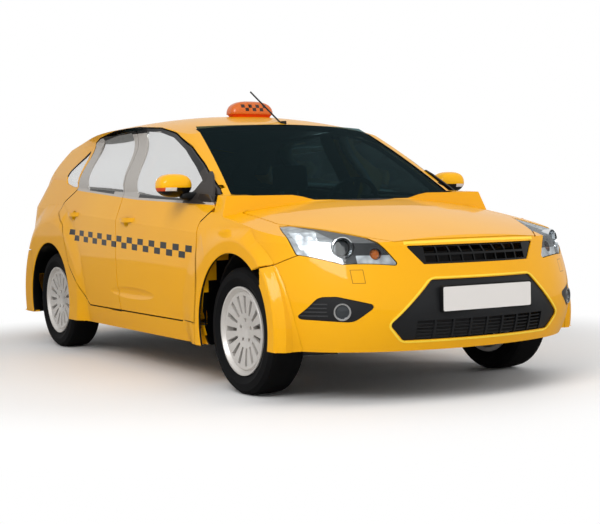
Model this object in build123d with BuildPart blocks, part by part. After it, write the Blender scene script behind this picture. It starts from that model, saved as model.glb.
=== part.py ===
from build123d import *

# Five-door hatchback taxi cab, in millimetres.
# +Z is up, the front faces -Y and the car's left side is +X.
# The origin is on the ground, under the centre of the body.
import math
import os

os.makedirs("parts", exist_ok=True)

# Overall size
LENGTH = 4337
WHEELBASE = 2640
FRONT_OVERHANG = 868
TRACK = 1535
FRONT_END = -LENGTH / 2
REAR_END = LENGTH / 2
FRONT_AXLE_Y = FRONT_END + FRONT_OVERHANG
REAR_AXLE_Y = FRONT_AXLE_Y + WHEELBASE

# Wheels and tyres
TYRE_R = 316
TYRE_W = 205
RIM_R = 221
RIM_WELL_R = 186
HUB_Z = TYRE_R
WHEEL_X = TRACK / 2
BEAD_FIT = 0.3

# Heights of the body
SILL_Z = 215
FLOOR_T = 30
CREASE_Z = 847
BELT_Z = 1045
ROOF_Z = 1492
DECK_CROWN_R = 4500
ROOF_CROWN_R = 3400
CROWN_HALF_ANGLE = 20
CORNER_MIN_R = 40
CANT_X = 560
TAILGATE_SEAM_Y = 1535
ARC_POINTS = 3
NOSE_END_Y = -1440
NOSE_LOW = 250
NOSE_HIGH = 850

# Walls and clearances
SKIN_T = 10
DOOR_T = 75
FRAME_T = 40
ROOF_T = 38
LID_T = 28
RING_CLEAR = 6
PILLAR_T = 70
CANT_T = 45
DOOR_GAP = 8
PANEL_GAP = 5
LID_GAP = 7
INNER_STEP = 14
GLASS_T = 5
GLASS_INSET = 6
GLASS_FIT = 0.3
SEAT_FIT = 0.3

# Wheel arches
ARCH_RISE = 20
ARCH_LIP_R = 367
WHEELHOUSE_R = 380
WHEELHOUSE_X = 455
REAR_WHEELHOUSE_X = 640
ARCH_LIP_X = 868

# Steering and hinges
STEER_TOP = Vector(565, FRONT_AXLE_Y, 800)
STEER_FOOT = Vector(700, FRONT_AXLE_Y, 190)
FRONT_HINGE_Y = -870
REAR_HINGE_Y = 235
HINGE_X = 900

# Plan sections of the body, one above the other.
# Columns: height, slope in Y, setback and sag of the front, setback and sag of the rear,
# half width at front, middle and rear, corner radius at front and rear.
LOW_SECTIONS = (
    (SILL_Z, 0.000, 84, 300, 84, 200, 850, 868, 835, 600, 330),
    (400, 0.010, 4, 310, 3, 205, 884, 902, 868, 640, 350),
    (590, 0.030, 11, 315, 19, 205, 892, 908, 872, 640, 350),
    (CREASE_Z, 0.055, 74, 330, 74, 210, 870, 893, 848, 620, 340),
)
SHOULDER_SECTIONS = (
    LOW_SECTIONS[-1],
    (BELT_Z, 0.055, 168, 330, 168, 210, 800, 815, 760, 560, 320),
)
GLASS_SECTIONS = (
    (985, 0.055, 974, 200, 148, 130, 785, 818, 745, 130, 220),
    (1200, 0.030, 1409, 170, 308, 110, 728, 752, 690, 120, 200),
    (1340, 0.010, 1714, 140, 478, 100, 668, 694, 636, 110, 180),
    (1480, 0.000, 2019, 120, 688, 90, 575, 605, 560, 100, 160),
)


def plan_section(row, inset):
    """One plan section: four arcs with rounded corners."""
    height, slope, front, front_sag, rear, rear_sag, w_front, w_mid, w_rear, r_front, r_rear = row
    plane = Plane(origin=(0, 0, height), x_dir=(1, 0, 0), z_dir=(0, -slope, 1))
    y_front = FRONT_END + front + inset
    y_rear = REAR_END - rear - inset
    x_front, x_mid, x_rear = w_front - inset, w_mid - inset, w_rear - inset
    y_a, y_b = y_front + front_sag, y_rear - rear_sag
    with BuildSketch(plane) as section:
        with BuildLine():
            ThreePointArc((-x_front, y_a), (0, y_front), (x_front, y_a))
            ThreePointArc((x_front, y_a), (x_mid, 0), (x_rear, y_b))
            ThreePointArc((x_rear, y_b), (0, y_rear), (-x_rear, y_b))
            ThreePointArc((-x_rear, y_b), (-x_mid, 0), (-x_front, y_a))
        make_face()
        fillet(section.vertices().sort_by(Axis.Y)[:2], max(r_front - inset, CORNER_MIN_R))
        rear_corners = section.vertices().sort_by(lambda v: abs(abs(v.X) - x_rear) + abs(v.Y - y_b))
        fillet(rear_corners[:2], max(r_rear - inset, CORNER_MIN_R))
    return section.sketch


def waterline_loft(rows, inset, ruled=False):
    """A solid through the plan sections of a table."""
    with BuildPart() as hull:
        loft([plan_section(row, inset) for row in rows], ruled=ruled)
    return hull.part


def crowned_region(profile, crown_r, top):
    """A side profile turned about a low lengthwise axis, so that it is crowned across the car."""
    tilt = math.radians(CROWN_HALF_ANGLE)
    axis_z = top - crown_r
    plane = Plane(origin=(0, 0, axis_z), x_dir=(0, 1, 0), z_dir=(math.cos(tilt), 0, math.sin(tilt)))
    with BuildPart() as region:
        with BuildSketch(plane):
            with BuildLine():
                for curve in profile:
                    points = [(y, z - axis_z) for y, z in curve]
                    if len(points) == ARC_POINTS:
                        ThreePointArc(*points)
                    else:
                        Polyline(*points)
            make_face()
        revolve(axis=Axis((0, 0, axis_z), (0, 1, 0)), revolution_arc=2 * CROWN_HALF_ANGLE)
    return region.part


def deck_region(drop):
    """The space under the crowned bonnet line, lowered by drop."""
    profile = (
        ((-2170, 590 - drop), (-2095, 705 - drop), (-2010, 778 - drop)),
        ((-2010, 778 - drop), (-1600, 877 - drop), (-1110, 962 - drop)),
        ((-1110, 962 - drop), (-1050, 1200), (2300, 1400), (2300, 100), (-2170, 100), (-2170, 590 - drop)),
    )
    return crowned_region(profile, DECK_CROWN_R, 962)


def roof_region(drop):
    """The space under the crowned roof line, lowered by drop."""
    profile = (
        ((-750, 1255 - drop), (-100, 1450 - drop), (350, ROOF_Z - drop)),
        ((350, ROOF_Z - drop), (950, 1472 - drop), (2100, 1262 - drop)),
        ((2100, 1262 - drop), (2300, 1200 - drop), (2300, 700), (-1600, 700),
         (-1600, 1120 - drop), (-750, 1255 - drop)),
    )
    return crowned_region(profile, ROOF_CROWN_R, ROOF_Z)


def body_form(low_inset, top_inset, deck_drop, roof_drop):
    """The closed outer form, pulled in by the given wall thicknesses."""
    with BuildPart() as glasshouse:
        loft([plan_section(row, top_inset) for row in GLASS_SECTIONS])
        add(roof_region(roof_drop), mode=Mode.INTERSECT)
    with BuildPart() as form:
        loft([plan_section(row, low_inset) for row in LOW_SECTIONS])
        loft([plan_section(row, low_inset) for row in SHOULDER_SECTIONS], ruled=True)
        add(deck_region(deck_drop), mode=Mode.INTERSECT)
        add(glasshouse.part)
    return form.part


def nose_form(inset):
    """The form of the nose alone, pulled in by a depth."""
    with BuildPart() as form:
        loft([plan_section(row, inset) for row in LOW_SECTIONS])
        loft([plan_section(row, inset) for row in SHOULDER_SECTIONS], ruled=True)
        add(deck_region(inset), mode=Mode.INTERSECT)
        add(block(-1000, 1000, -2300, NOSE_END_Y, NOSE_LOW, NOSE_HIGH), mode=Mode.INTERSECT)
    return form.part


def outline_prism(plane, rows, near, far, grow=0):
    """A prism whose outline is a table of two coordinates and, where corners are round, a radius."""
    points = [(row[0], row[1]) for row in rows]
    radii = [row[2] for row in rows if len(row) > 2]
    with BuildPart() as prism:
        with BuildSketch(plane.offset(near)) as outline:
            with BuildLine():
                if radii:
                    FilletPolyline(*points, radius=radii, close=True)
                else:
                    Polyline(*points, close=True)
            make_face()
            if grow:
                offset(amount=grow)
        extrude(amount=far - near)
    return prism.part


def block(x_low, x_high, y_low, y_high, z_low, z_high):
    """A plain block between two corners, for cutting."""
    with BuildPart() as piece:
        with BuildSketch(Plane.XY.offset(z_low)):
            with Locations(((x_low + x_high) / 2, (y_low + y_high) / 2)):
                Rectangle(x_high - x_low, y_high - y_low)
        extrude(amount=z_high - z_low)
    return piece.part


def axle_cylinder(y, z, radius, x_near, x_far):
    """A cylinder across the car, from x_near to x_far."""
    with BuildPart() as piece:
        with BuildSketch(Plane.YZ.offset(x_near)):
            with Locations((y, z)):
                Circle(radius)
        extrude(amount=x_far - x_near)
    return piece.part


def post(x, y, radius, z_low, z_high):
    """An upright cylinder."""
    with BuildPart() as piece:
        with BuildSketch(Plane.XY.offset(z_low)):
            with Locations((x, y)):
                Circle(radius)
        extrude(amount=z_high - z_low)
    return piece.part


def mirrored(shape):
    """The same piece on the car's right side."""
    with BuildPart() as twin:
        mirror(shape, about=Plane.YZ)
    return twin.part


def largest(shape):
    """The main solid of a cut, without the crumbs that a seam leaves."""
    with BuildPart() as piece:
        add(shape.solids().sort_by(SortBy.VOLUME)[-1])
    return piece.part


def save(shape, name):
    """Label a piece and write it."""
    shape.label = name
    export_step(shape, f"parts/{name}.step")


def save_pair(shape, name):
    """Write a left piece and its mirrored twin."""
    save(shape, f"{name}_left")
    save(mirrored(shape), f"{name}_right")


def save_both(shape, name):
    """Write a left piece and its mirrored twin as one node."""
    with BuildPart() as pair:
        add(shape)
        add(mirrored(shape))
    save(pair.part, name)


# Outlines on the left side. Columns: Y, Z, corner radius.
SILL_SEAM_Z = 326
FRONT_DOOR_LINE = (
    (-885, SILL_SEAM_Z, 20), (-922, 565, 300), (-878, 848, 40), (-1000, 926, 8), (-846, 1030, 300),
    (-612, 1170, 400), (-424, 1269, 300), (-208, 1352, 300), (-9, 1394, 300), (272, 1414, 12),
    (215, 1006, 300), (190, 700, 300), (150, SILL_SEAM_Z, 15),
)
REAR_DOOR_LINE = (
    (150, SILL_SEAM_Z, 15), (190, 700, 300), (215, 1006, 300), (272, 1414, 12), (545, 1402, 600),
    (863, 1378, 300), (975, 1354, 15), (1005, 1290, 60), (1018, 1180, 150), (1035, 1050, 20),
    (1190, 975, 40), (1215, 905, 30), (1085, 824, 40), (960, 560, 150), (668, SILL_SEAM_Z, 40),
)
FRONT_GLASS_LINE = (
    (-815, 968, 20), (-705, 1078, 200), (-596, 1148, 300), (-410, 1248, 300), (-196, 1330, 300),
    (-9, 1370, 300), (160, 1384, 12), (24, 1012, 12), (-349, 990, 900),
)
REAR_GLASS_LINE = (
    (225, 1024, 12), (335, 1388, 12), (545, 1378, 600), (800, 1360, 20), (905, 1290, 100),
    (870, 1180, 200), (826, 1054, 12),
)
QUARTER_GLASS_LINE = (
    (1052, 1066, 10), (1180, 1074, 40), (1290, 1098, 30), (1330, 1140, 25), (1300, 1178, 40),
    (1200, 1236, 200), (1058, 1312, 10),
)
FRONT_OPENING_LINE = (
    (-780, 372, 60), (-800, 800, 200), (-840, 960, 40), (-700, 1064, 200), (-590, 1136, 300),
    (-404, 1238, 300), (-190, 1320, 300), (-9, 1360, 300), (165, 1376, 30), (66, 1000, 300), (62, 372, 60),
)
REAR_OPENING_LINE = (
    (240, 372, 60), (222, 1000, 300), (335, 1380, 30), (545, 1370, 600), (830, 1350, 40),
    (950, 1290, 80), (985, 1060, 60), (960, 800, 100), (880, 600, 150), (610, 372, 60),
)
SIDE_LINE = (
    (-968, 0), (-968, 860), (-1075, 905), (-1075, 1010), (-300, 1460), (350, 1600),
    (1560, 1600), (2300, 1300), (2300, 650), (1690, 650), (1690, 0),
)

# Outlines seen from the front or from behind, both halves. Columns: X, Z, corner radius.
TAILGATE_LINE = (
    (-560, 1480, 1), (560, 1480, 1), (628, 1180, 80), (600, 900, 120), (540, 655, 60),
    (-540, 655, 60), (-600, 900, 120), (-628, 1180, 80),
)
REAR_SCREEN_LINE = (
    (-490, 1330, 40), (490, 1330, 40), (545, 1110, 50), (-545, 1110, 50),
)
TAIL_LAMP_LINE = (
    (640, 1190, 8), (720, 1120, 60), (860, 850, 60), (830, 790, 30), (618, 800, 15), (612, 900, 120),
)
GRILLE_LINE = (
    (-380, 737, 6), (380, 737, 6), (310, 650, 8), (-310, 650, 8),
)
LOWER_GRILLE_LINE = (
    (-500, 380, 20), (-290, 580, 25), (290, 580, 25), (500, 380, 20), (430, 304, 20), (-430, 304, 20),
)
FOG_RECESS_LINE = (
    (548, 472, 15), (700, 514, 60), (760, 512, 40), (830, 408, 15), (640, 394, 60),
)

# Bonnet outline seen from above. Columns: X, Y, corner radius.
BONNET_FRONT_Y = -2034
BONNET_LINE = (
    (-425, -2006, 20), (0, BONNET_FRONT_Y, 3000), (425, -2006, 20), (505, -1890, 100), (610, -1680, 60),
    (728, -1470, 40), (742, -1110, 30), (0, -1225, 1500), (-742, -1110, 30), (-728, -1470, 40),
    (-610, -1680, 60), (-505, -1890, 100),
)
# Left headlamp outline seen along its own axis. Columns: X, Y, Z of points on the lens.
LAMP_POINTS = (
    (431, -2048, 651), (657, -1927, 661), (797, -1751, 707), (779, -1598, 808), (731, -1470, 842),
    (597, -1684, 818), (514, -1902, 776), (476, -2008, 721),
)
LAMP_CORNER_R = 8
LAMP_DEPTH = 115

# Glass screens: half widths and distances along the slope.
SCREEN_FOOT = Vector(0, -1150, 988)
SCREEN_SLOPE = 25.5
SCREEN_FOOT_X = 716
SCREEN_HEAD_X = 560
SCREEN_FOOT_SAG = 142
SCREEN_LENGTH = 940
SCREEN_HEAD_SAG = 62

FLARES = (
    # axle Y, then (radius, X) pairs of the flare's section
    (FRONT_AXLE_Y, ((340, 840), (340, 905), (ARCH_LIP_R, 912), (428, 914), (468, 872), (468, 840))),
    (REAR_AXLE_Y, ((340, 840), (340, 903), (ARCH_LIP_R, 911), (500, 914), (560, 868), (560, 840))),
)
# The same sections pulled in by the skin
FLARE_CORE = ((340, 830), (340, 895), (ARCH_LIP_R, 902), (425, 904), (462, 864), (462, 830))
ARCH_Z = HUB_Z + ARCH_RISE


def flare(y, rows):
    """The swollen lip of a wheel arch."""
    with BuildPart() as ring:
        with BuildSketch(Plane(origin=(0, y, ARCH_Z), x_dir=(0, 0, 1), z_dir=(0, 1, 0))):
            with BuildLine():
                Polyline(*rows, close=True)
            make_face()
        revolve(axis=Axis((0, y, ARCH_Z), (1, 0, 0)))
        add(block(0, 1000, y - 600, y + 600, SILL_Z, 1000), mode=Mode.INTERSECT)
    return ring.part


def wheel_space(y, inner_x):
    """The space a wheel needs: a wide well and a smaller hole in the outer panel."""
    with BuildPart() as space:
        add(axle_cylinder(y, ARCH_Z, WHEELHOUSE_R, inner_x, ARCH_LIP_X))
        add(axle_cylinder(y, ARCH_Z, ARCH_LIP_R, ARCH_LIP_X, 1000))
    return space.part


# Master forms: the outer form and what is left inside each wall
with BuildPart() as outer_form:
    add(body_form(0, 0, 0, 0))
    for axle_y, section in FLARES:
        lip = flare(axle_y, section)
        add(lip)
        add(mirrored(lip))
with BuildPart() as scallop:
    with BuildSketch(Plane.XY):
        with BuildLine():
            ThreePointArc((0, -780), (60, 0), (0, 780))
            Line((0, 780), (0, -780))
        make_face()
    revolve(axis=Axis((0, 0, 0), (0, 1, 0)))
scallops = [Pos(side * (908 + 46), -20, 436) * scallop.part for side in (-1, 1)]
outer = outer_form.part - scallops
skin_core = body_form(SKIN_T, SKIN_T, SKIN_T, SKIN_T)
door_core = body_form(DOOR_T, FRAME_T, LID_T, ROOF_T)
lid_core = body_form(LID_T, LID_T, LID_T, LID_T)
ring_form = body_form(DOOR_T + RING_CLEAR, FRAME_T + RING_CLEAR, LID_T + RING_CLEAR, ROOF_T + RING_CLEAR)
void_form = body_form(DOOR_T + RING_CLEAR + PILLAR_T, FRAME_T + RING_CLEAR + CANT_T, 90, ROOF_T)
skin_shell = outer - skin_core
lid_shell = outer - lid_core
wall_shell = outer - void_form

front_well = wheel_space(FRONT_AXLE_Y, WHEELHOUSE_X)
rear_well = wheel_space(REAR_AXLE_Y, REAR_WHEELHOUSE_X)

# Glass layer, from which all panes are cut
glass_layer = waterline_loft(GLASS_SECTIONS, GLASS_INSET) - waterline_loft(GLASS_SECTIONS, GLASS_INSET + GLASS_T)

slope = math.radians(SCREEN_SLOPE)
screen_plane = Plane(origin=SCREEN_FOOT, x_dir=(1, 0, 0), z_dir=(0, -math.sin(slope), math.cos(slope)))


def screen_prism(grow=0):
    """The windscreen's outline, square to its slope."""
    with BuildPart() as prism:
        with BuildSketch(screen_plane.offset(-250)):
            with BuildLine():
                foot = ThreePointArc((-SCREEN_FOOT_X, SCREEN_FOOT_SAG), (0, 0), (SCREEN_FOOT_X, SCREEN_FOOT_SAG))
                head = ThreePointArc(
                    (-SCREEN_HEAD_X, SCREEN_LENGTH + SCREEN_HEAD_SAG), (0, SCREEN_LENGTH),
                    (SCREEN_HEAD_X, SCREEN_LENGTH + SCREEN_HEAD_SAG))
                Line(foot @ 0, head @ 0)
                Line(foot @ 1, head @ 1)
            make_face()
            if grow:
                offset(amount=grow)
        extrude(amount=400)
    return prism.part


def tailgate_prism(grow=0):
    """The tailgate's outline from behind, ending at its seam across the roof."""
    with BuildPart() as prism:
        add(outline_prism(Plane.XZ, TAILGATE_LINE, -2300, -1000, grow))
        with BuildSketch(Plane.YZ.offset(-1000)):
            Polygon((TAILGATE_SEAM_Y - grow, 1600), (2400, 1600), (2400, 500), (1300, 500), (1300, 1150),
                    (TAILGATE_SEAM_Y - 60 - grow, 1300), align=None)
        extrude(amount=2000, mode=Mode.INTERSECT)
    return prism.part


LAMP_CENTRE = sum((Vector(*point) for point in LAMP_POINTS), Vector(0, 0, 0)) / len(LAMP_POINTS)
LAMP_PLANE = Plane(origin=LAMP_CENTRE, x_dir=(0.81, 0.59, 0), z_dir=(0.52, -0.72, 0.46))


def lamp_prism(grow=0):
    """The left headlamp's outline, along the lamp's own axis."""
    local = [LAMP_PLANE.to_local_coords(Vector(*point)) for point in LAMP_POINTS]
    with BuildPart() as prism:
        with BuildSketch(LAMP_PLANE.offset(-LAMP_DEPTH)):
            with BuildLine():
                FilletPolyline(*[(p.X, p.Y) for p in local], radius=LAMP_CORNER_R, close=True)
            make_face()
            if grow:
                offset(amount=grow)
        extrude(amount=2 * LAMP_DEPTH)
    return prism.part


bonnet_prism = outline_prism(Plane.XY, BONNET_LINE, 700, 1100)
bonnet_hole = outline_prism(Plane.XY, BONNET_LINE, 690, 1100, LID_GAP)


# Seams between fixed panels, seen from the side. Columns: Y, Z, corner radius.
FENDER_REAR_Y = -889
PILLAR_FOOT_Y = -1075
FENDER_LINE = (
    (-1640, 655), (-1760, 704), (-1900, 805), (-1900, 1010), (PILLAR_FOOT_Y, 1010),
    (PILLAR_FOOT_Y, 905), (-870, 905), (-870, 400), (FENDER_REAR_Y, 300),
    (FENDER_REAR_Y, 0), (-1400, 0), (-1400, 600),
)
FRONT_BUMPER_LINE = (
    (-2300, 252), (-1600, 252), (-1600, 639), (-1640, 655 - PANEL_GAP), (-1760, 704 - PANEL_GAP),
    (-1900, 805 - PANEL_GAP), (-2300, 805),
)
COWL_X = 742
REAR_BUMPER_Y = 1690
REAR_BUMPER_TOP = 645

front_door_hole = outline_prism(Plane.YZ, FRONT_DOOR_LINE, 0, 1000, DOOR_GAP / 2)
rear_door_hole = outline_prism(Plane.YZ, REAR_DOOR_LINE, 0, 1000, DOOR_GAP / 2)
tail_lamp_prism = outline_prism(Plane.XZ, TAIL_LAMP_LINE, -2300, -1650)
quarter_prism = outline_prism(Plane.YZ, QUARTER_GLASS_LINE, 300, 1000)

# Side frame: sill, pillars, cant rail, rear quarter and wheel arch of one side
HINGE_POCKET_R = 68
SAIL_POCKET_R = 150
# Room for the inner corner of the front door as it swings: X, Y and Z, low and high
SAIL_RELIEF = (703, 795, -865, -730, 985, 1046)
with BuildPart() as side_frame:
    add(wall_shell)
    add(outline_prism(Plane.YZ, SIDE_LINE, CANT_X, 1000), mode=Mode.INTERSECT)
    add([front_door_hole - ring_form, rear_door_hole - ring_form], mode=Mode.SUBTRACT)
    add(outline_prism(Plane.YZ, FRONT_OPENING_LINE, 300, 1000), mode=Mode.SUBTRACT)
    add(outline_prism(Plane.YZ, REAR_OPENING_LINE, 300, 1000), mode=Mode.SUBTRACT)
    add(post(HINGE_X, FRONT_HINGE_Y, HINGE_POCKET_R, SILL_SEAM_Z - DOOR_GAP, 870), mode=Mode.SUBTRACT)
    add(post(HINGE_X, FRONT_HINGE_Y, SAIL_POCKET_R, 865, 1010), mode=Mode.SUBTRACT)
    add(post(HINGE_X, REAR_HINGE_Y, HINGE_POCKET_R + 20, SILL_SEAM_Z - DOOR_GAP, 1000), mode=Mode.SUBTRACT)
    add(block(*SAIL_RELIEF), mode=Mode.SUBTRACT)
    add(outline_prism(Plane.YZ, FENDER_LINE, 400, 1000) - skin_core, mode=Mode.SUBTRACT)
    add([front_well, rear_well], mode=Mode.SUBTRACT)
    add(screen_prism(), mode=Mode.SUBTRACT)
    add(tailgate_prism(LID_GAP), mode=Mode.SUBTRACT)
    add([tail_lamp_prism, quarter_prism], mode=Mode.SUBTRACT)
save_pair(largest(side_frame.part), "side_frame")

with BuildPart() as roof_panel:
    add(wall_shell)
    add(block(-CANT_X, CANT_X, -450, 1700, 1200, 1600), mode=Mode.INTERSECT)
    add(screen_prism(), mode=Mode.SUBTRACT)
    add(tailgate_prism(LID_GAP), mode=Mode.SUBTRACT)
save(largest(roof_panel.part), "roof_panel")

# Outer panels of the front end
bumper_openings = [
    outline_prism(Plane.XZ, GRILLE_LINE, 1900, 2300),
    outline_prism(Plane.XZ, LOWER_GRILLE_LINE, 1900, 2300),
    outline_prism(Plane.XZ, FOG_RECESS_LINE, 1700, 2300),
]
with BuildPart() as fender:
    add(skin_shell)
    add(outline_prism(Plane.YZ, FENDER_LINE, 400, 1000), mode=Mode.INTERSECT)
    add(front_door_hole, mode=Mode.SUBTRACT)
    add(bonnet_hole, mode=Mode.SUBTRACT)
    add(block(0, COWL_X, -1300, PILLAR_FOOT_Y, 850, 1100), mode=Mode.SUBTRACT)
    add(lamp_prism(PANEL_GAP), mode=Mode.SUBTRACT)
    add(front_well, mode=Mode.SUBTRACT)
    add(flare(FRONT_AXLE_Y, FLARE_CORE), mode=Mode.SUBTRACT)
save_pair(largest(fender.part), "fender")

with BuildPart() as front_bumper:
    add(skin_shell)
    add(outline_prism(Plane.YZ, FRONT_BUMPER_LINE, -1000, 1000), mode=Mode.INTERSECT)
    add(bonnet_hole, mode=Mode.SUBTRACT)
    add([lamp_prism(PANEL_GAP), mirrored(lamp_prism(PANEL_GAP))], mode=Mode.SUBTRACT)
    add([front_well, mirrored(front_well)], mode=Mode.SUBTRACT)
    add([bumper_openings[0], bumper_openings[1], bumper_openings[2], mirrored(bumper_openings[2])], mode=Mode.SUBTRACT)
save(largest(front_bumper.part), "front_bumper")

# Headlamps: a clear lens over a dark unit with hollow reflectors and a projector.
# The unit's axes lie in LAMP_PLANE, and its hollows are measured from that plane.
LENS_T = 4
UNIT_DEPTH = 60
HOLLOW_DEPTH = 30
PROJECTOR_HOLLOW_R = 52
PROJECTOR_R = 34
PROJECTOR_LENGTH = 24
PROJECTOR = Vector(640, -1905, 735)
INDICATOR = Vector(515, -1985, 702)
INDICATOR_R = 27
LAMP_DIRECTION = Vector(0.35, -0.93, 0.10)
REFLECTOR_POINTS = (
    (722, -1842, 700), (776, -1752, 722), (764, -1625, 800), (728, -1510, 832), (642, -1665, 812),
)

lens_core = nose_form(LENS_T)
unit_form = nose_form(LENS_T + SEAT_FIT)
lamp_outline = lamp_prism(0)
projector_plane = Plane(origin=PROJECTOR, x_dir=(0.93, 0.35, 0), z_dir=LAMP_DIRECTION)
indicator_plane = Plane(origin=INDICATOR, x_dir=(0.93, 0.35, 0), z_dir=LAMP_DIRECTION)
reflector_outline = [LAMP_PLANE.to_local_coords(Vector(*point)) for point in REFLECTOR_POINTS]
with BuildPart() as headlamp:
    add(outer)
    add(lamp_outline, mode=Mode.INTERSECT)
    add(bonnet_hole, mode=Mode.SUBTRACT)
    add(lens_core, mode=Mode.SUBTRACT)
save_both(largest(headlamp.part), "headlamps")

with BuildPart() as lamp_unit:
    add(unit_form)
    add(lamp_outline, mode=Mode.INTERSECT)
    add(bonnet_hole, mode=Mode.SUBTRACT)
    with BuildSketch(LAMP_PLANE.offset(-HOLLOW_DEPTH)):
        Polygon(*[(p.X, p.Y) for p in reflector_outline], align=None)
    extrude(amount=3 * HOLLOW_DEPTH, mode=Mode.SUBTRACT)
    with BuildSketch(projector_plane.offset(-UNIT_DEPTH)):
        Circle(PROJECTOR_HOLLOW_R)
    extrude(amount=3 * UNIT_DEPTH, mode=Mode.SUBTRACT)
    with BuildSketch(indicator_plane.offset(-HOLLOW_DEPTH)):
        Circle(INDICATOR_R)
    extrude(amount=3 * HOLLOW_DEPTH, mode=Mode.SUBTRACT)
    with BuildSketch(projector_plane.offset(-UNIT_DEPTH - 1)):
        Circle(PROJECTOR_R)
    extrude(amount=PROJECTOR_LENGTH)
save_both(largest(lamp_unit.part), "lamp_units")

# The bonnet is a skin over a frame that stops short of the edge, so that it can swing up
with BuildPart() as bonnet_frame:
    add(skin_core)
    add(outline_prism(Plane.XY, BONNET_LINE, 700, 1100, -INNER_STEP), mode=Mode.INTERSECT)
    add(lid_core, mode=Mode.SUBTRACT)
with BuildPart() as bonnet:
    add(skin_shell)
    add(bonnet_prism, mode=Mode.INTERSECT)
    add(bonnet_frame.part)
save(largest(bonnet.part), "bonnet")

with BuildPart() as cowl:
    add(lid_shell)
    add(block(-COWL_X, COWL_X, -1300, PILLAR_FOOT_Y, 850, 1100) + block(-CANT_X, CANT_X, PILLAR_FOOT_Y, -900, 850, 1100),
        mode=Mode.INTERSECT)
    add(bonnet_hole, mode=Mode.SUBTRACT)
    add(screen_prism(GLASS_FIT), mode=Mode.SUBTRACT)
save(largest(cowl.part), "cowl")

# Rear end
with BuildPart() as rear_bumper:
    add(skin_shell)
    add(block(-1000, 1000, REAR_BUMPER_Y, 2400, 100, REAR_BUMPER_TOP), mode=Mode.INTERSECT)
    add([rear_well, mirrored(rear_well)], mode=Mode.SUBTRACT)
save(largest(rear_bumper.part), "rear_bumper")

with BuildPart() as rear_panel:
    add(skin_core)
    add(block(-700, 700, 1980, 2400, 250, REAR_BUMPER_TOP), mode=Mode.INTERSECT)
save(largest(rear_panel.part), "rear_panel")

with BuildPart() as tail_lamp:
    add(lid_shell)
    add(outline_prism(Plane.XZ, TAIL_LAMP_LINE, -2300, -1650), mode=Mode.INTERSECT)
save_both(largest(tail_lamp.part), "tail_lamps")

rear_screen_prism = outline_prism(Plane.XZ, REAR_SCREEN_LINE, -2300, -1300)
with BuildPart() as tailgate_box:
    add(skin_core)
    add(tailgate_prism(-INNER_STEP), mode=Mode.INTERSECT)
    add(door_core, mode=Mode.SUBTRACT)
with BuildPart() as tailgate:
    add(skin_shell)
    add(tailgate_prism(), mode=Mode.INTERSECT)
    add(tailgate_box.part)
    add(rear_screen_prism, mode=Mode.SUBTRACT)
save(largest(tailgate.part), "tailgate")

# Glass panes
REAR_SCREEN_GLASS = outline_prism(Plane.XZ, REAR_SCREEN_LINE, -2300, -1300, -GLASS_FIT)
QUARTER_GLASS = outline_prism(Plane.YZ, QUARTER_GLASS_LINE, 300, 1000, -GLASS_FIT)
for cutter, name in ((screen_prism(-GLASS_FIT), "windscreen"), (REAR_SCREEN_GLASS, "tailgate_glass")):
    with BuildPart() as pane:
        add(glass_layer)
        add(cutter, mode=Mode.INTERSECT)
    save(largest(pane.part), name)
with BuildPart() as quarter_glass:
    add(glass_layer)
    add(QUARTER_GLASS, mode=Mode.INTERSECT)
save_both(largest(quarter_glass.part), "quarter_glass")

# Door handles: an arched pull in front of a hollow for the fingers
HANDLE_HALF = 100
HANDLE_FOOT = 25
HANDLE_H = 26
HANDLE_PROUD = 34
HANDLE_T = 14
HANDLE_ROOT = 6
PALM_R = 70
PALM_DEPTH = 7


def handle_pull(x, y, z):
    """The pull of a door handle, whose feet stand in the skin."""
    with BuildPart() as pull:
        with BuildSketch(Plane.XY.offset(z - HANDLE_H / 2)):
            with BuildLine():
                front = ThreePointArc(
                    (x - HANDLE_ROOT, y - HANDLE_HALF), (x + HANDLE_PROUD, y), (x - HANDLE_ROOT, y + HANDLE_HALF))
                inner = HANDLE_HALF - HANDLE_FOOT
                back = ThreePointArc(
                    (x - HANDLE_ROOT, y - inner), (x + HANDLE_PROUD - HANDLE_T, y), (x - HANDLE_ROOT, y + inner))
                Line(front @ 0, back @ 0)
                Line(front @ 1, back @ 1)
            make_face()
        extrude(amount=HANDLE_H)
    return pull.part


# Doors: an outer skin that overlaps the frame, and the deep box behind it
for line, glass_line, hinge_y, handle_at, name in (
    (FRONT_DOOR_LINE, FRONT_GLASS_LINE, FRONT_HINGE_Y, (887, 40, 861), "front"),
    (REAR_DOOR_LINE, REAR_GLASS_LINE, REAR_HINGE_Y, (874, 935, 893), "rear"),
):
    with BuildPart() as door_box:
        add(skin_core)
        add(outline_prism(Plane.YZ, line, 400, 1000, -DOOR_GAP / 2 - INNER_STEP), mode=Mode.INTERSECT)
        add(block(300, 1000, hinge_y - 8, 1500, 0, 1600), mode=Mode.INTERSECT)
        add(door_core, mode=Mode.SUBTRACT)
    with BuildPart() as door:
        add(skin_shell)
        add(outline_prism(Plane.YZ, line, 400, 1000, -DOOR_GAP / 2), mode=Mode.INTERSECT)
        add(door_box.part)
        add(outline_prism(Plane.YZ, glass_line, 300, 1000), mode=Mode.SUBTRACT)
        with Locations((handle_at[0] + PALM_R - PALM_DEPTH, handle_at[1], handle_at[2])):
            Sphere(PALM_R, mode=Mode.SUBTRACT)
        add(handle_pull(*handle_at))
    save_pair(largest(door.part), f"{name}_door")
    with BuildPart() as door_glass:
        add(glass_layer)
        add(outline_prism(Plane.YZ, glass_line, 300, 1000, -GLASS_FIT), mode=Mode.INTERSECT)
    save_pair(largest(door_glass.part), f"{name}_door_glass")

# Underbody: floor with wheelhouse liners, bulkhead and front structure
BULKHEAD_Y = -915
BOOT_FLOOR_Y = 1000
BOOT_FLOOR_Z = 385
LINER_T = 12
TUNNEL_X = 95
TUNNEL_TOP = 345


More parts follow.
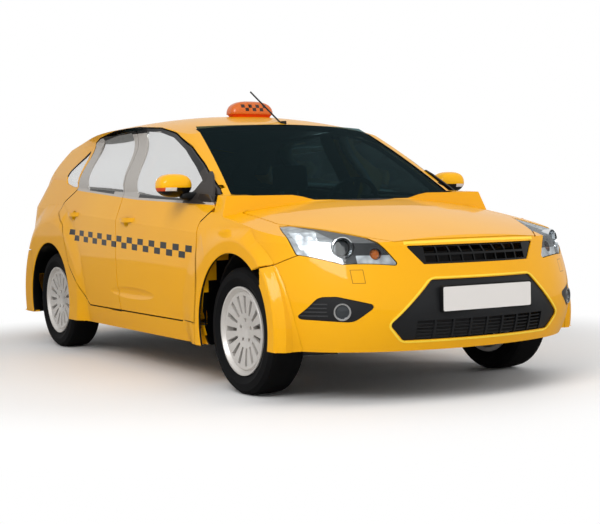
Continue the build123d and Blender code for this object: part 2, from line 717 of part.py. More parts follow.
def liner(y, inner_x, outer_x, z_low):
    """The inner wall of a wheel arch: a drum closed on the inside, above z_low."""
    with BuildPart() as drum:
        add(axle_cylinder(y, ARCH_Z, WHEELHOUSE_R + LINER_T, inner_x - LINER_T, outer_x))
        add(axle_cylinder(y, ARCH_Z, WHEELHOUSE_R, inner_x, outer_x), mode=Mode.SUBTRACT)
        add(block(0, 1000, y - 600, y + 600, z_low, 1000), mode=Mode.INTERSECT)
    return drum.part


FLOOR_Z = SILL_Z
rear_liner = liner(REAR_AXLE_Y, REAR_WHEELHOUSE_X, 800, BOOT_FLOOR_Z)
with BuildPart() as floor_pan:
    add(block(-800, 800, BULKHEAD_Y, BOOT_FLOOR_Y, FLOOR_Z, FLOOR_Z + FLOOR_T))
    add(block(-800, 800, BOOT_FLOOR_Y - FLOOR_T, BOOT_FLOOR_Y, FLOOR_Z, BOOT_FLOOR_Z + FLOOR_T))
    add(block(-800, 800, BOOT_FLOOR_Y - FLOOR_T, 1979, BOOT_FLOOR_Z, BOOT_FLOOR_Z + FLOOR_T))
    add(block(-TUNNEL_X, TUNNEL_X, BULKHEAD_Y, BOOT_FLOOR_Y, FLOOR_Z, TUNNEL_TOP))
    add(block(20 - TUNNEL_X, TUNNEL_X - 20, BULKHEAD_Y - 10, BOOT_FLOOR_Y + 1, 100, TUNNEL_TOP - 20), mode=Mode.SUBTRACT)
    add([rear_liner, mirrored(rear_liner)])
    add([rear_well, mirrored(rear_well)], mode=Mode.SUBTRACT)
    add(void_form, mode=Mode.INTERSECT)
save(largest(floor_pan.part), "floor_pan")

BULKHEAD_LINE = (
    (BULKHEAD_Y, FLOOR_Z + 1), (BULKHEAD_Y, 735), (-1050, 800), (-1050, 890), (-1020, 890), (-1020, 820),
    (BULKHEAD_Y + 30, 755), (BULKHEAD_Y + 30, FLOOR_Z + FLOOR_T), (BULKHEAD_Y + 30, FLOOR_Z + 1),
)
with BuildPart() as bulkhead:
    add(outline_prism(Plane.YZ, BULKHEAD_LINE, -800, 800))
    add(floor_pan.part, mode=Mode.SUBTRACT)
    add(void_form, mode=Mode.INTERSECT)
save(largest(bulkhead.part), "bulkhead")

RAIL_X = 400
RAIL_W = 55
RAIL_Z = 400
APRON_TOP = 733
front_liner = liner(FRONT_AXLE_Y, WHEELHOUSE_X, 800, RAIL_Z)
lamp_hole = lamp_prism(SEAT_FIT)
with BuildPart() as front_frame:
    add([front_liner, mirrored(front_liner)])
    add([front_well, mirrored(front_well)], mode=Mode.SUBTRACT)
    for side in (-1, 1):
        add(block(side * RAIL_X - RAIL_W / 2, side * RAIL_X + RAIL_W / 2, -2010, BULKHEAD_Y - 0.3, RAIL_Z, RAIL_Z + 110))
        add(block(side * 423 - 21, side * 423 + 21, -1620, BULKHEAD_Y - 0.3, RAIL_Z, APRON_TOP))
    add(block(-560, 560, -1910, -1880, 280, 700))
    add(block(-330, 330, -1911, -1879, 330, 650), mode=Mode.SUBTRACT)
    add(block(-470, 470, -2050, -2010, 420, 530))
    add(skin_core, mode=Mode.INTERSECT)
    add([lamp_hole, mirrored(lamp_hole)], mode=Mode.SUBTRACT)
    add(block(-1000, 1000, BULKHEAD_Y - SEAT_FIT, -500, 0, 1000), mode=Mode.SUBTRACT)
    for side in (-1, 1):
        add(block(side * 780 - 222, side * 780 + 222, -968 - SEAT_FIT, -500, 0, 1000), mode=Mode.SUBTRACT)
save(largest(front_frame.part), "front_frame")

with BuildPart() as radiator:
    with BuildSketch(Plane.XZ.offset(1905)):
        with Locations((0, 490)):
            Rectangle(658, 318)
    extrude(amount=-20)
save(radiator.part, "radiator")

with BuildPart() as engine_block:
    with BuildSketch(Plane.XY.offset(300)):
        with Locations((0, -1450)):
            Rectangle(620, 420)
    extrude(amount=460)
    chamfer(engine_block.edges().filter_by(Axis.Z), 25)
save(engine_block.part, "engine_block")

# Wheels. Columns: distance from the wheel's middle plane, radius.
BEAD_R = 209
TYRE_SECTION = (
    (-70, BEAD_R), (-83, BEAD_R), (-84, 226), (-102.5, 262), (-98, 296), (-80, 313), (-60, TYRE_R),
    (60, TYRE_R), (80, 313), (98, 296), (102.5, 262), (84, 226), (83, BEAD_R), (70, BEAD_R),
    (72, 226), (88, 262), (84, 290), (60, 302), (-60, 302), (-84, 290), (-88, 262), (-72, 226),
)
RIM_SECTION = (
    (-92, RIM_R), (-84.3, RIM_R), (-83.3, BEAD_R - BEAD_FIT), (-60, BEAD_R - 3), (-50, RIM_WELL_R), (40, RIM_WELL_R + 4),
    (60, BEAD_R - 3), (83.3, BEAD_R - BEAD_FIT), (84.3, RIM_R), (92, RIM_R), (92, RIM_R - 8), (70, 196),
    (40, 180), (-50, RIM_WELL_R - 8), (-92, RIM_R - 22),
)
DISC_SECTION = (
    # the dished face of the wheel, from the rim in to the hub
    (70, 198), (80, 190), (66, 60), (60, 0), (30, 0), (30, 75), (50, 80), (58, 186), (58, 198),
)
BRAKE_SECTION = ((-8, 140), (4, 140), (4, 85), (30, 85), (30, 0), (18, 0), (18, 72), (-8, 72))
SPOKE_PAIRS = 15
LUGS = 5
LUG_CIRCLE_R = 54
LUG_HOLE_R = 10


def turned(section, x, y, z):
    """A ring turned about an axle, from a table of offset and radius."""
    with BuildPart() as ring:
        with BuildSketch(Plane(origin=(x, y, z), x_dir=(1, 0, 0), z_dir=(0, -1, 0))):
            with BuildLine():
                Polyline(*section, close=True)
            make_face()
        revolve(axis=Axis((x, y, z), (1, 0, 0)))
    return ring.part


def wheel_pair(y, name):
    """Tyre and rim of the left wheel and their mirrored twins."""
    tyre = turned(TYRE_SECTION, WHEEL_X, y, HUB_Z)
    save_pair(tyre, f"{name}_tyre")
    with BuildPart() as rim:
        add(turned(RIM_SECTION, WHEEL_X, y, HUB_Z))
        add(turned(DISC_SECTION, WHEEL_X, y, HUB_Z))
        face = Plane(origin=(WHEEL_X + 40, y, HUB_Z), x_dir=(0, 1, 0), z_dir=(1, 0, 0))
        with BuildSketch(face):
            with PolarLocations(0, SPOKE_PAIRS):
                Polygon((88, -7), (176, -13), (176, 13), (88, 7), align=None)
            with PolarLocations(LUG_CIRCLE_R, LUGS, start_angle=18):
                Circle(LUG_HOLE_R)
        extrude(amount=60, mode=Mode.SUBTRACT)
        add(turned(BRAKE_SECTION, WHEEL_X, y, HUB_Z))
    save_pair(largest(rim.part), f"{name}_rim")


wheel_pair(FRONT_AXLE_Y, "front")
wheel_pair(REAR_AXLE_Y, "rear")

# Front suspension: knuckles turn about the leaning steering axis
STEER_AXIS = (STEER_TOP - STEER_FOOT).normalized()
STRUT_R = 22
BALL_R = 16
steer_plane = Plane(origin=STEER_FOOT, x_dir=(0, 1, 0), z_dir=STEER_AXIS)
STRUT_START = 325
with BuildPart() as knuckle:
    with BuildSketch(steer_plane.offset(BALL_R + 1)):
        Circle(BALL_R)
    extrude(amount=STRUT_START - BALL_R - 1 - 0.3)
    with BuildSketch(Plane.YZ.offset(645)):
        with Locations((FRONT_AXLE_Y, HUB_Z)):
            Circle(50)
    extrude(amount=WHEEL_X - 8 - BEAD_FIT - 645 - 5)
    with BuildSketch(Plane.YZ.offset(WHEEL_X - 14)):
        with Locations((FRONT_AXLE_Y, HUB_Z)):
            Circle(20)
    extrude(amount=32 - 0.3)
    with BuildSketch(Plane.YZ.offset(650)):
        with Locations((FRONT_AXLE_Y + 90, HUB_Z)):
            Rectangle(110, 34)
    extrude(amount=24)
save_pair(largest(knuckle.part), "knuckle")

SUBFRAME_X = 380
with BuildPart() as front_suspension:
    add(block(-SUBFRAME_X, SUBFRAME_X, -1420, -1110, 195, 235))
    with BuildSketch(Plane.XY.offset(172)):
        for side in (-1, 1):
            Polygon((side * (SUBFRAME_X - 20), -1400), (side * 500, FRONT_AXLE_Y - 45), (side * 712, FRONT_AXLE_Y - 22),
                    (side * 712, FRONT_AXLE_Y + 22), (side * 500, FRONT_AXLE_Y + 45), (side * (SUBFRAME_X - 20), -1130),
                    align=None)
    extrude(amount=24)

with BuildPart() as strut:
    with BuildSketch(steer_plane.offset(STRUT_START)):
        Circle(STRUT_R)
    extrude(amount=260)
    with BuildSketch(steer_plane.offset(STRUT_START + 60)):
        Circle(38)
    extrude(amount=190)
    add(axle_cylinder(FRONT_AXLE_Y, ARCH_Z, WHEELHOUSE_R - 0.3, 400, 860), mode=Mode.INTERSECT)
with BuildPart() as front_struts:
    add(front_suspension.part)
    add(strut.part)
    add(mirrored(strut.part))
save(front_struts.part, "front_suspension")

with BuildPart() as rear_axle:
    with BuildSketch(Plane.YZ.offset(-630)):
        with Locations((REAR_AXLE_Y - 20, 300)):
            Circle(36)
    extrude(amount=1260)
    for side in (-1, 1):
        with BuildSketch(Plane.YZ.offset(side * 590 - 25)):
            with BuildLine():
                Polyline((REAR_AXLE_Y + 50, 350), (REAR_AXLE_Y + 50, 262), (1010, 250), (1010, 300), close=True)
            make_face()
        extrude(amount=50)
        with BuildSketch(Plane.YZ.offset(side * 680 - 66)):
            with Locations((REAR_AXLE_Y, HUB_Z)):
                Circle(45)
        extrude(amount=132)
        with BuildSketch(Plane.YZ.offset(side * 762 - 18)):
            with Locations((REAR_AXLE_Y, HUB_Z)):
                Circle(20)
        extrude(amount=36 - 0.3)
        with BuildSketch(Plane.XY.offset(290)):
            with Locations((side * 520, REAR_AXLE_Y)):
                Circle(55)
        extrude(amount=BOOT_FLOOR_Z - 290 - 0.3)
save(largest(rear_axle.part), "rear_axle")

# Cabin
with BuildPart() as dashboard:
    with BuildSketch(Plane.YZ.offset(-690)):
        with BuildLine():
            FilletPolyline((-1010, 830), (-1000, 925), (-800, 935), (-640, 890), (-620, 800), (-700, 640),
                           (-875, 640), (-875, 780), radius=20, close=True)
        make_face()
    extrude(amount=1380)
    add(void_form, mode=Mode.INTERSECT)
    add(bulkhead.part, mode=Mode.SUBTRACT)

WHEEL_RING_R = 185
COLUMN_TILT = 24
DRIVER_X = 360
tilt = math.radians(COLUMN_TILT)
column_dir = Vector(0, math.cos(tilt), math.sin(tilt))
wheel_centre = Vector(DRIVER_X, -430, 905)
steering_plane = Plane(origin=wheel_centre, x_dir=(1, 0, 0), z_dir=column_dir)
with BuildPart() as steering_wheel:
    with BuildSketch(Plane(origin=wheel_centre, x_dir=(1, 0, 0), z_dir=steering_plane.y_dir)):
        with Locations((WHEEL_RING_R, 0)):
            Circle(15)
    revolve(axis=Axis(wheel_centre, column_dir))
    with BuildSketch(steering_plane.offset(-45)):
        Circle(62)
    extrude(amount=50)
    with BuildSketch(steering_plane.offset(-22)):
        with PolarLocations(115, 3, start_angle=-90):
            Rectangle(160, 34)
    extrude(amount=16)
save(largest(steering_wheel.part), "steering_wheel")

with BuildPart() as steering_column:
    with BuildSketch(steering_plane.offset(-46)):
        Circle(38)
    extrude(amount=-240)
    add(dashboard.part)
save(largest(steering_column.part), "dashboard")

with BuildPart() as seat_half:
    with BuildSketch(Plane.YZ.offset(DRIVER_X - 255)):
        with BuildLine():
            FilletPolyline((-330, 300), (-320, 450), (130, 425), (210, 980), (330, 990), (330, 940), (260, 400),
                           (230, 300), radius=35, close=True)
        make_face()
    extrude(amount=510)
    with BuildSketch(Plane.YZ.offset(DRIVER_X - 130)):
        with BuildLine():
            FilletPolyline((235, 1010), (235, 1190), (320, 1190), (330, 1010), radius=30, close=True)
        make_face()
    extrude(amount=260)
    add(block(DRIVER_X - 200, DRIVER_X + 200, -250, 200, FLOOR_Z + FLOOR_T, 310))
    add(block(DRIVER_X - 90, DRIVER_X + 90, 265, 290, 980, 1020))
save_both(largest(seat_half.part), "front_seats")

with BuildPart() as rear_seat:
    with BuildSketch(Plane.YZ.offset(-620)):
        with BuildLine():
            FilletPolyline((560, 250), (560, 440), (930, 420), (1090, 960), (1190, 960), (1060, 420), (960, 400),
                           (960, 250), radius=(20, 40, 30, 40, 30, 20, 8, 8), close=True)
        make_face()
    extrude(amount=1240)
    add(floor_pan.part, mode=Mode.SUBTRACT)
    add([axle_cylinder(REAR_AXLE_Y, ARCH_Z, 395, 625, 900), mirrored(axle_cylinder(REAR_AXLE_Y, ARCH_Z, 395, 625, 900))],
        mode=Mode.SUBTRACT)
save(largest(rear_seat.part), "rear_seat")

# Small outer pieces
SIGN_Y = 150
SIGN_W = 290
with BuildPart() as taxi_sign:
    with BuildSketch(Plane.XZ.offset(-SIGN_Y)):
        with Locations((0, 1526)):
            Trapezoid(SIGN_W, 104, 76)
    extrude(amount=60, both=True)
    fillet(taxi_sign.edges(), 12)
    add(block(-170, 170, 60, 240, 1440, 1482))
    add(outer, mode=Mode.SUBTRACT)
save(largest(taxi_sign.part), "taxi_sign")

with BuildPart() as aerial:
    with BuildSketch(Plane(origin=(0, -262, 1405), x_dir=(1, 0, 0), z_dir=(0, 0.62, 0.36))):
        Circle(5)
    extrude(amount=455)
    with BuildSketch(Plane.XY.offset(1400)):
        with Locations((0, -265)):
            Ellipse(16, 30)
    extrude(amount=28)
    add(outer, mode=Mode.SUBTRACT)
save(largest(aerial.part), "aerial")

# Door mirrors. Columns of the outline from above: X, Y, corner radius.
MIRROR_PLAN = (
    (838, -690, 12), (846, -742, 22), (925, -738, 90), (1002, -690, 40), (1010, -606, 18), (992, -592, 12),
)
MIRROR_LOW = 985
MIRROR_H = 126
MIRROR_ROUND = 12
MIRROR_ARM = (770, 900, -738, -680, 966, 990)
with BuildPart() as mirror_housing:
    with BuildSketch(Plane.XY.offset(MIRROR_LOW)):
        with BuildLine():
            FilletPolyline(
                *[row[:2] for row in MIRROR_PLAN], radius=[row[2] for row in MIRROR_PLAN], close=True)
        make_face()
    extrude(amount=MIRROR_H)
    fillet(mirror_housing.edges().group_by(Axis.Z)[-1], MIRROR_ROUND)
    add(block(*MIRROR_ARM))
    add(outer, mode=Mode.SUBTRACT)
save_pair(largest(mirror_housing.part), "mirror")

# Grilles and fog lamp surrounds are cut from one layer behind the bumper's surface
GRILLE_FRONT = 6
GRILLE_BACK = 18
WINDOW_W = 84
WINDOW_PITCH = 94
WINDOW_COUNT = 8
WINDOW_LOW = 306
WINDOW_HIGH = 394
SLAT_H = 5
SLAT_T = 10
SLAT_HALF_X = 380
SLAT_SAG = 53
UPPER_WINDOW_W = 60
UPPER_WINDOW_H = 30
UPPER_WINDOW_PITCH = (66, 40)
UPPER_WINDOW_COUNT = (9, 2)
UPPER_WINDOW_Z = 694
# Slats. Columns: height and Y of the front edge at the car's middle.
SLATS = ((312, -2134), (328, -2139), (344, -2145), (360, -2149.5), (376, -2152.5))

# Fog lamps, turned outward from the car's axis
FOG = Vector(684, -1961, 443)
FOG_DIRECTION = Vector(0.5, -0.87, 0)
FOG_R = 40
FOG_RING_W = 7
FOG_DEPTH = 50
FOG_RECESS = 8
fog_plane = Plane(origin=FOG, x_dir=(0.87, 0.5, 0), z_dir=FOG_DIRECTION)


def fog_cylinder(radius, low, high):
    """A cylinder along the fog lamp's axis, measured from the bumper's surface."""
    with BuildPart() as piece:
        with BuildSketch(fog_plane.offset(low)):
            Circle(radius)
        extrude(amount=high - low)
    return piece.part


with BuildPart() as fog_lamp:
    add(fog_cylinder(FOG_R, -FOG_DEPTH, 0))
    add(fog_cylinder(FOG_R - FOG_RING_W, -FOG_RECESS, 1), mode=Mode.SUBTRACT)
save_both(fog_lamp.part, "fog_lamps")

grille_layer = nose_form(GRILLE_FRONT) - nose_form(GRILLE_BACK)
with BuildPart() as fog_surround:
    add(grille_layer)
    add(outline_prism(Plane.XZ, FOG_RECESS_LINE, 1700, 2300, -GLASS_FIT), mode=Mode.INTERSECT)
    add(fog_cylinder(FOG_R + SEAT_FIT, -2 * FOG_DEPTH, FOG_DEPTH), mode=Mode.SUBTRACT)

with BuildPart() as slatted_grille:
    add(grille_layer)
    add(outline_prism(Plane.XZ, LOWER_GRILLE_LINE, 1900, 2300, -GLASS_FIT), mode=Mode.INTERSECT)
    with BuildSketch(Plane.XZ.offset(1900)):
        with Locations((0, (WINDOW_LOW + WINDOW_HIGH) / 2)):
            with GridLocations(WINDOW_PITCH, 0, WINDOW_COUNT, 1):
                Rectangle(WINDOW_W, WINDOW_HIGH - WINDOW_LOW)
    extrude(amount=400, mode=Mode.SUBTRACT)
    for slat_z, slat_y in SLATS:
        with BuildSketch(Plane.XY.offset(slat_z)):
            with BuildLine():
                front = ThreePointArc((-SLAT_HALF_X, slat_y + SLAT_SAG), (0, slat_y), (SLAT_HALF_X, slat_y + SLAT_SAG))
                back = ThreePointArc(
                    (-SLAT_HALF_X, slat_y + SLAT_SAG + SLAT_T), (0, slat_y + SLAT_T),
                    (SLAT_HALF_X, slat_y + SLAT_SAG + SLAT_T))
                Line(front @ 0, back @ 0)
                Line(front @ 1, back @ 1)
            make_face()
        extrude(amount=SLAT_H)
with BuildPart() as lower_grille:
    add(largest(slatted_grille.part))
    add(largest(fog_surround.part))
    add(mirrored(largest(fog_surround.part)))
save(lower_grille.part, "lower_grille")

with BuildPart() as upper_grille:
    add(grille_layer)
    add(outline_prism(Plane.XZ, GRILLE_LINE, 1900, 2300, -GLASS_FIT), mode=Mode.INTERSECT)
    with BuildSketch(Plane.XZ.offset(1900)):
        with Locations((0, UPPER_WINDOW_Z)):
            with GridLocations(*UPPER_WINDOW_PITCH, *UPPER_WINDOW_COUNT):
                Rectangle(UPPER_WINDOW_W, UPPER_WINDOW_H)
    extrude(amount=400, mode=Mode.SUBTRACT)
save(largest(upper_grille.part), "upper_grille")

# Exhaust under the tunnel, with its silencer behind the axle
PIPE_R = 22
PIPE_Z = 235
PIPE_START = 880
PIPE_LENGTH = 2640
HANGER_R = 6
SILENCER_TOP = 360
SILENCER_H = 140
SILENCER_AT = (-120, 1820)
HANGER_PITCH = 400
with BuildPart() as exhaust:
    with BuildSketch(Plane.XZ.offset(PIPE_START)):
        with Locations((0, PIPE_Z)):
            Circle(PIPE_R)
    extrude(amount=-PIPE_LENGTH)
    with BuildSketch(Plane.XY.offset(SILENCER_TOP - SILENCER_H)):
        with Locations(SILENCER_AT):
            RectangleRounded(520, 190, 70)
    extrude(amount=SILENCER_H)
    with BuildSketch(Plane.XY.offset(PIPE_Z)):
        with Locations((0, -400), (0, 500)):
            Circle(HANGER_R)
    extrude(amount=TUNNEL_TOP - 20 - SEAT_FIT - PIPE_Z)
    with BuildSketch(Plane.XY.offset(SILENCER_TOP - 1)):
        with Locations(SILENCER_AT):
            with GridLocations(HANGER_PITCH, 0, 2, 1):
                Circle(HANGER_R)
    extrude(amount=BOOT_FLOOR_Z - SEAT_FIT - SILENCER_TOP + 1)
save(exhaust.part, "exhaust")
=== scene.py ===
"""Dresses a packed hatchback taxi cab: paint, glass, lamps, trim, wheels, sign and a plain studio."""

import math

import bmesh
import bpy
import numpy as np
from mathutils import Matrix, Vector
from mathutils.bvhtree import BVHTree


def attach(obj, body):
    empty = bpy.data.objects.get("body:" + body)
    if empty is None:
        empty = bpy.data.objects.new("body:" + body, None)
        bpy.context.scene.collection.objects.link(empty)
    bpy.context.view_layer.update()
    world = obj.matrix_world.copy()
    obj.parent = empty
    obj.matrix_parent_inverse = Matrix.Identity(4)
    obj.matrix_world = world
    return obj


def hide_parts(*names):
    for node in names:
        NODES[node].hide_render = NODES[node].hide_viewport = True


bl_info = {
    "name": "Taxi Cab Dresser",
    "version": (1, 0, 0),
    "blender": (4, 5, 0),
    "location": "View3D > Sidebar > Taxi Cab",
    "description": "Finishes and fits the pieces of a hatchback taxi cab round its packed frame",
    "category": "Object",
}

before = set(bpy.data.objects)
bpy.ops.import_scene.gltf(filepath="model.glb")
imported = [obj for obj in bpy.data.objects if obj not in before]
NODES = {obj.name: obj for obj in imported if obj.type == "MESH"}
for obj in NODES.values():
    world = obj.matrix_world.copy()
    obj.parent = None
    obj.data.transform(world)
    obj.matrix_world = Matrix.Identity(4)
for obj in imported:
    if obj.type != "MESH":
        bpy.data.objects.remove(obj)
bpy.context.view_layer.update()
SIDES = (("left", 1.0), ("right", -1.0))
AXES = (Vector((1, 0, 0)), Vector((0, 1, 0)), Vector((0, 0, 1)))

# Places measured on the car, in metres. Y runs to the rear, and X is given for the left side.
FRONT_AXLE_Y = -1.3005
REAR_AXLE_Y = 1.3395
NOSE_Y = -2.3  # ahead of the nose, where casts start
FAR_Y = 3.0  # beyond either end
BESIDE_X = 1.3  # beside the widest place

# The cabin, whose inner faces are primed instead of yellow
CABIN_FRONT_Y, CABIN_REAR_Y = -0.97, 1.95
CABIN_MID_Z = 0.75
INWARD_LIMIT = -0.06

# Wheel arches: the black liner, painted shade on the flare lip's inner face, the flare's rolled lip, and the
# skin outward of it
ARCH_Z = 0.336
LINER_TOP_Z = 0.72
LINER_INWARD_LIMIT = -0.02
# The first zone reaches every X and paints the flare lip's inner face black as painted shade; the others are
# the black liner inside the wheelhouse.
# Columns: radius about the axle, |X| within which the zone holds, whether only inward faces count
LINER_AND_LIP_SHADE_ZONES = (
    (0.3674, BESIDE_X, False), (0.397, 0.8675, False), (0.460, 0.820, False), (0.500, 0.8675, True),
)
FLARE_X = 0.9160
LIP = ((0.3663, 0.902), (0.3667, 0.909), (0.3685, 0.9142), (0.3725, FLARE_X))  # radius, X
ARCH_START, ARCH_SPAN, ARCH_STEPS = -22.0, 224.0, 380  # degrees from straight back, and their steps
ARCH_RING = 0.004  # between rings of the skin
SKIN_LEAST = 0.048  # least width of the skin
SKIN_LIFT = 0.0007  # clear of the panel under it
SKIN_END_X, STEEPEST = 0.86, -1.2  # the skin's end over no panel, and its steepest end slope
LEAST_FACES = 60  # a skin with fewer is a sliver
FADE_START, FADE_SPAN = 70.0, 45.0  # degrees over which the front skin narrows toward the nose

# Doors above the belt line
BELT_Z, BELT_RISE, BELT_REAR_RISE = 0.990, 0.038, 0.030
BELT_STRIP_H = 0.012
PILLAR_FRONT_Y, PILLAR_REAR_Y = -0.02, 0.37
REAR_PILLAR_Y = 0.80
PILLAR_TOP_Z = 1.375
WINDOW_CORNER_Y = -0.655

# Washer covers in the front bumper
COVER_X, COVER_Z = 0.6115, 0.603
COVER_HALF_W, COVER_HALF_H = 0.0245, 0.030
COVER_LINE, COVER_REAR_Y = 0.0016, -1.80

# The black strip at the windscreen's foot
COWL_STRIP_Z, COWL_BOW = 0.949, 0.19

# The headlamp unit's bright parts
REFLECTOR_X, BEZEL_X, BEZEL_Z = 0.652, 0.600, 0.697
CREST_Y, CREST_RISE, CREST_Z = -1.90, 0.16, 0.772

# Checkers on the roof sign
SIGN_COLUMN, SIGN_ROW, SIGN_COLUMNS, CHECKER_ROWS = 0.025, 0.021, 7.0, 2.0
SIGN_CHECKER_Z, SIGN_FOOT_Z = 1.512, 1.4942

# Door mirror: black foot, clear strip and its amber end
MIRROR_FOOT_Z, MIRROR_STRIP_Z = 1.036, 1.018
MIRROR_STRIP_X, MIRROR_STRIP_Y, MIRROR_LAMP_X = 0.925, -0.64, 0.985

PLATE_SINK = 0.0021  # keeps a plate's sheet inside the car's box
PLATE_CORNER = 0.010
BAR_WIDTH = 0.020

# The camera that was fitted to the photograph
CAMERA_PLACE = (-3.733, -6.754, 0.960)
CAMERA_TURN, CAMERA_TILT, CAMERA_ROLL = -30.56, 2.86, -1.14
FOCAL_PIXELS, PHOTO_WIDTH, SENSOR_MM = 1250.5, 600.0, 36.0

FINISHES = {}  # filled by the first operator


# ---------- helpers


def linear(hex_colour):
    """An sRGB hex value as the linear colour that shaders use."""
    parts = [int(hex_colour[i : i + 2], 16) / 255 for i in (1, 3, 5)]
    return tuple(p / 12.92 if p <= 0.04045 else ((p + 0.055) / 1.055) ** 2.4 for p in parts) + (1.0,)


def sided(*names):
    """Each name with left and right added."""
    return [f"{name}_{side}" for name in names for side, _ in SIDES]


def add_node(tree, kind, inputs=None, **settings):
    """Add a shader node, set its properties, and set or link its inputs. A hex string is a colour."""
    made = tree.nodes.new("ShaderNode" + kind)
    for name, value in settings.items():
        setattr(made, name, value)
    for name, value in (inputs or {}).items():
        value = getattr(value, "socket", value)
        if isinstance(value, bpy.types.NodeSocket):
            tree.links.new(value, made.inputs[name])
        else:
            made.inputs[name].default_value = linear(value) if isinstance(value, str) else value
    return made


class Signal:
    """A shader value. Python's arithmetic and comparisons on it add Math nodes; a test gives 1 or 0."""

    def __init__(self, tree, socket):
        self.tree, self.socket = tree, socket

    def maths(operation):
        """A method that runs one Math node over this signal and the other values."""

        def method(self, *others):
            inputs = dict(enumerate((self,) + others))
            return Signal(self.tree, add_node(self.tree, "Math", inputs, operation=operation).outputs[0])

        return method

    __add__, __sub__, __mul__ = maths("ADD"), maths("SUBTRACT"), maths("MULTIPLY")
    __truediv__, __mod__ = maths("DIVIDE"), maths("MODULO")
    __gt__, __lt__ = maths("GREATER_THAN"), maths("LESS_THAN")
    __abs__, floor, root, most = maths("ABSOLUTE"), maths("FLOOR"), maths("SQRT"), maths("MAXIMUM")

    def mix(self, first, second):
        """The first colour where this signal is 0, and the second where it is 1."""
        return add_node(self.tree, "Mix", {0: self, 6: first, 7: second}, data_type="RGBA").outputs[2]


def new_material(name):
    """A material with no nodes yet, and its node tree."""
    material = bpy.data.materials.new(name)
    material.use_nodes = True
    material.node_tree.nodes.clear()
    return material, material.node_tree


def principled(material, **inputs):
    """Give a material one main shader, whose sockets are set or linked by name."""
    tree = material.node_tree
    shader = add_node(tree, "BsdfPrincipled", {k.replace("_", " "): v for k, v in inputs.items()})
    add_node(tree, "OutputMaterial", {"Surface": shader.outputs[0]})
    return material


def object_place(tree):
    """The point on the piece in the car's own frame, in metres."""
    return add_node(tree, "TexCoord").outputs["Object"]


def coordinates(tree, output="Object"):
    """X, Y and Z of the point, or of the face's normal, in the car's own frame."""
    vector = add_node(tree, "TexCoord").outputs[output]
    split = add_node(tree, "SeparateXYZ", {"Vector": vector})
    return [Signal(tree, split.outputs[axis]) for axis in "XYZ"]


def scaled_noise(tree, size_mm, detail=2.0):
    """Noise whose blotches are about size_mm across."""
    inputs = {"Vector": object_place(tree), "Scale": 1000.0 / size_mm, "Detail": detail}
    return Signal(tree, add_node(tree, "TexNoise", inputs).outputs["Fac"])


def cells(tree, size_mm):
    """The distance from the middle of cells about size_mm across."""
    inputs = {"Vector": object_place(tree), "Scale": 1000.0 / size_mm}
    return Signal(tree, add_node(tree, "TexVoronoi", inputs).outputs["Distance"])


def bump(height, distance_mm, strength):
    """A normal that raises the surface by a signal, distance_mm at its most."""
    inputs = {"Height": height, "Distance": distance_mm / 1000.0, "Strength": strength}
    return add_node(height.tree, "Bump", inputs).outputs[0]


def checkers(column, row, columns, shift):
    """1 on every other cell in two rows of a grid, counted from the first cell."""
    odd = (column.floor() + row.floor() + shift) % 2.0
    return (odd < 0.5) * (column > 0.0) * (column < columns) * (row > 0.0) * (row < CHECKER_ROWS)


def mesh_from(vertices, faces, name):
    """A mesh from points and faces, with its normals made consistent."""
    data = bpy.data.meshes.new(name)
    data.from_pydata([tuple(v) for v in vertices], [], faces)
    work = bmesh.new()
    work.from_mesh(data)
    bmesh.ops.remove_doubles(work, verts=work.verts, dist=1e-6)
    bmesh.ops.recalc_face_normals(work, faces=work.faces)
    work.to_mesh(data)
    work.free()
    return data


def fit(name, shape, made_of, body, replaced=(), smooth_angle=35.0):
    """Make a mesh, or points and faces, into a piece with a finish that rides on a body."""
    data = shape if isinstance(shape, bpy.types.Mesh) else mesh_from(*shape, name)
    data.materials.append(FINISHES[made_of])
    data.shade_smooth()
    data.set_sharp_from_angle(angle=math.radians(smooth_angle))
    piece = bpy.data.objects.new(name, data)
    bpy.context.scene.collection.objects.link(piece)
    if replaced:
        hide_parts(*replaced)
    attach(piece, body)
    return piece


def joined_rings(rings, wrap=False):
    """Points and faces that join each closed ring to the next, capped at the ends unless they wrap."""
    count, total = len(rings[0]), len(rings)
    faces = []
    for i in range(total if wrap else total - 1):
        here, after = i * count, (i + 1) % total * count
        for k in range(count):
            m = (k + 1) % count
            faces.append((here + k, here + m, after + m, after + k))
    if not wrap:
        faces += [tuple(range(count)), tuple(range((total - 1) * count, total * count))]
    return [point for ring in rings for point in ring], faces


def turned(profile, steps, centre, right, out):
    """A closed profile of (radius, height) turned about the direction out."""
    up = out.cross(right).normalized()
    rings = []
    for i in range(steps):
        a = 2 * math.pi * i / steps
        away = right * math.cos(a) + up * math.sin(a)
        rings.append([centre + away * radius + out * height for radius, height in profile])
    return joined_rings(rings, wrap=True)


def rounded_square(c, d, power):
    """How far out a point lies, where 1 is a square with rounded corners."""
    return (abs(c) ** power + abs(d) ** power) ** (1 / power)


def superform(name, centre, half, plan, crown, cuts, shape=None, axes=AXES):
    """A closed rounded form: a cube's grid drawn in to a superellipsoid."""
    work = bmesh.new()
    bmesh.ops.create_cube(work, size=2.0)
    bmesh.ops.subdivide_edges(work, edges=work.edges[:], cuts=cuts, use_grid_fill=True)
    for v in work.verts:
        q = v.co / rounded_square(rounded_square(v.co.x, v.co.y, plan), v.co.z, crown)
        if shape:
            q = shape(q)
        v.co = Vector(centre) + sum((axis * (k * h) for axis, k, h in zip(axes, q, half)), Vector())
    bmesh.ops.recalc_face_normals(work, faces=work.faces)
    data = bpy.data.meshes.new(name)
    work.to_mesh(data)
    work.free()
    return data


def lofted(x, y, rows, points=56, power=4.0):
    """A closed form through level rows of (height, half width, half depth)."""
    rings = [[] for _ in rows]
    for ring, (height, wide, deep) in zip(rings, rows):
        for i in range(points):
            a = 2 * math.pi * i / points
            c, d = math.cos(a), math.sin(a)
            reach = rounded_square(c, d, power)
            ring.append((x + wide * c / reach, y + deep * d / reach, height))
    return joined_rings(rings)


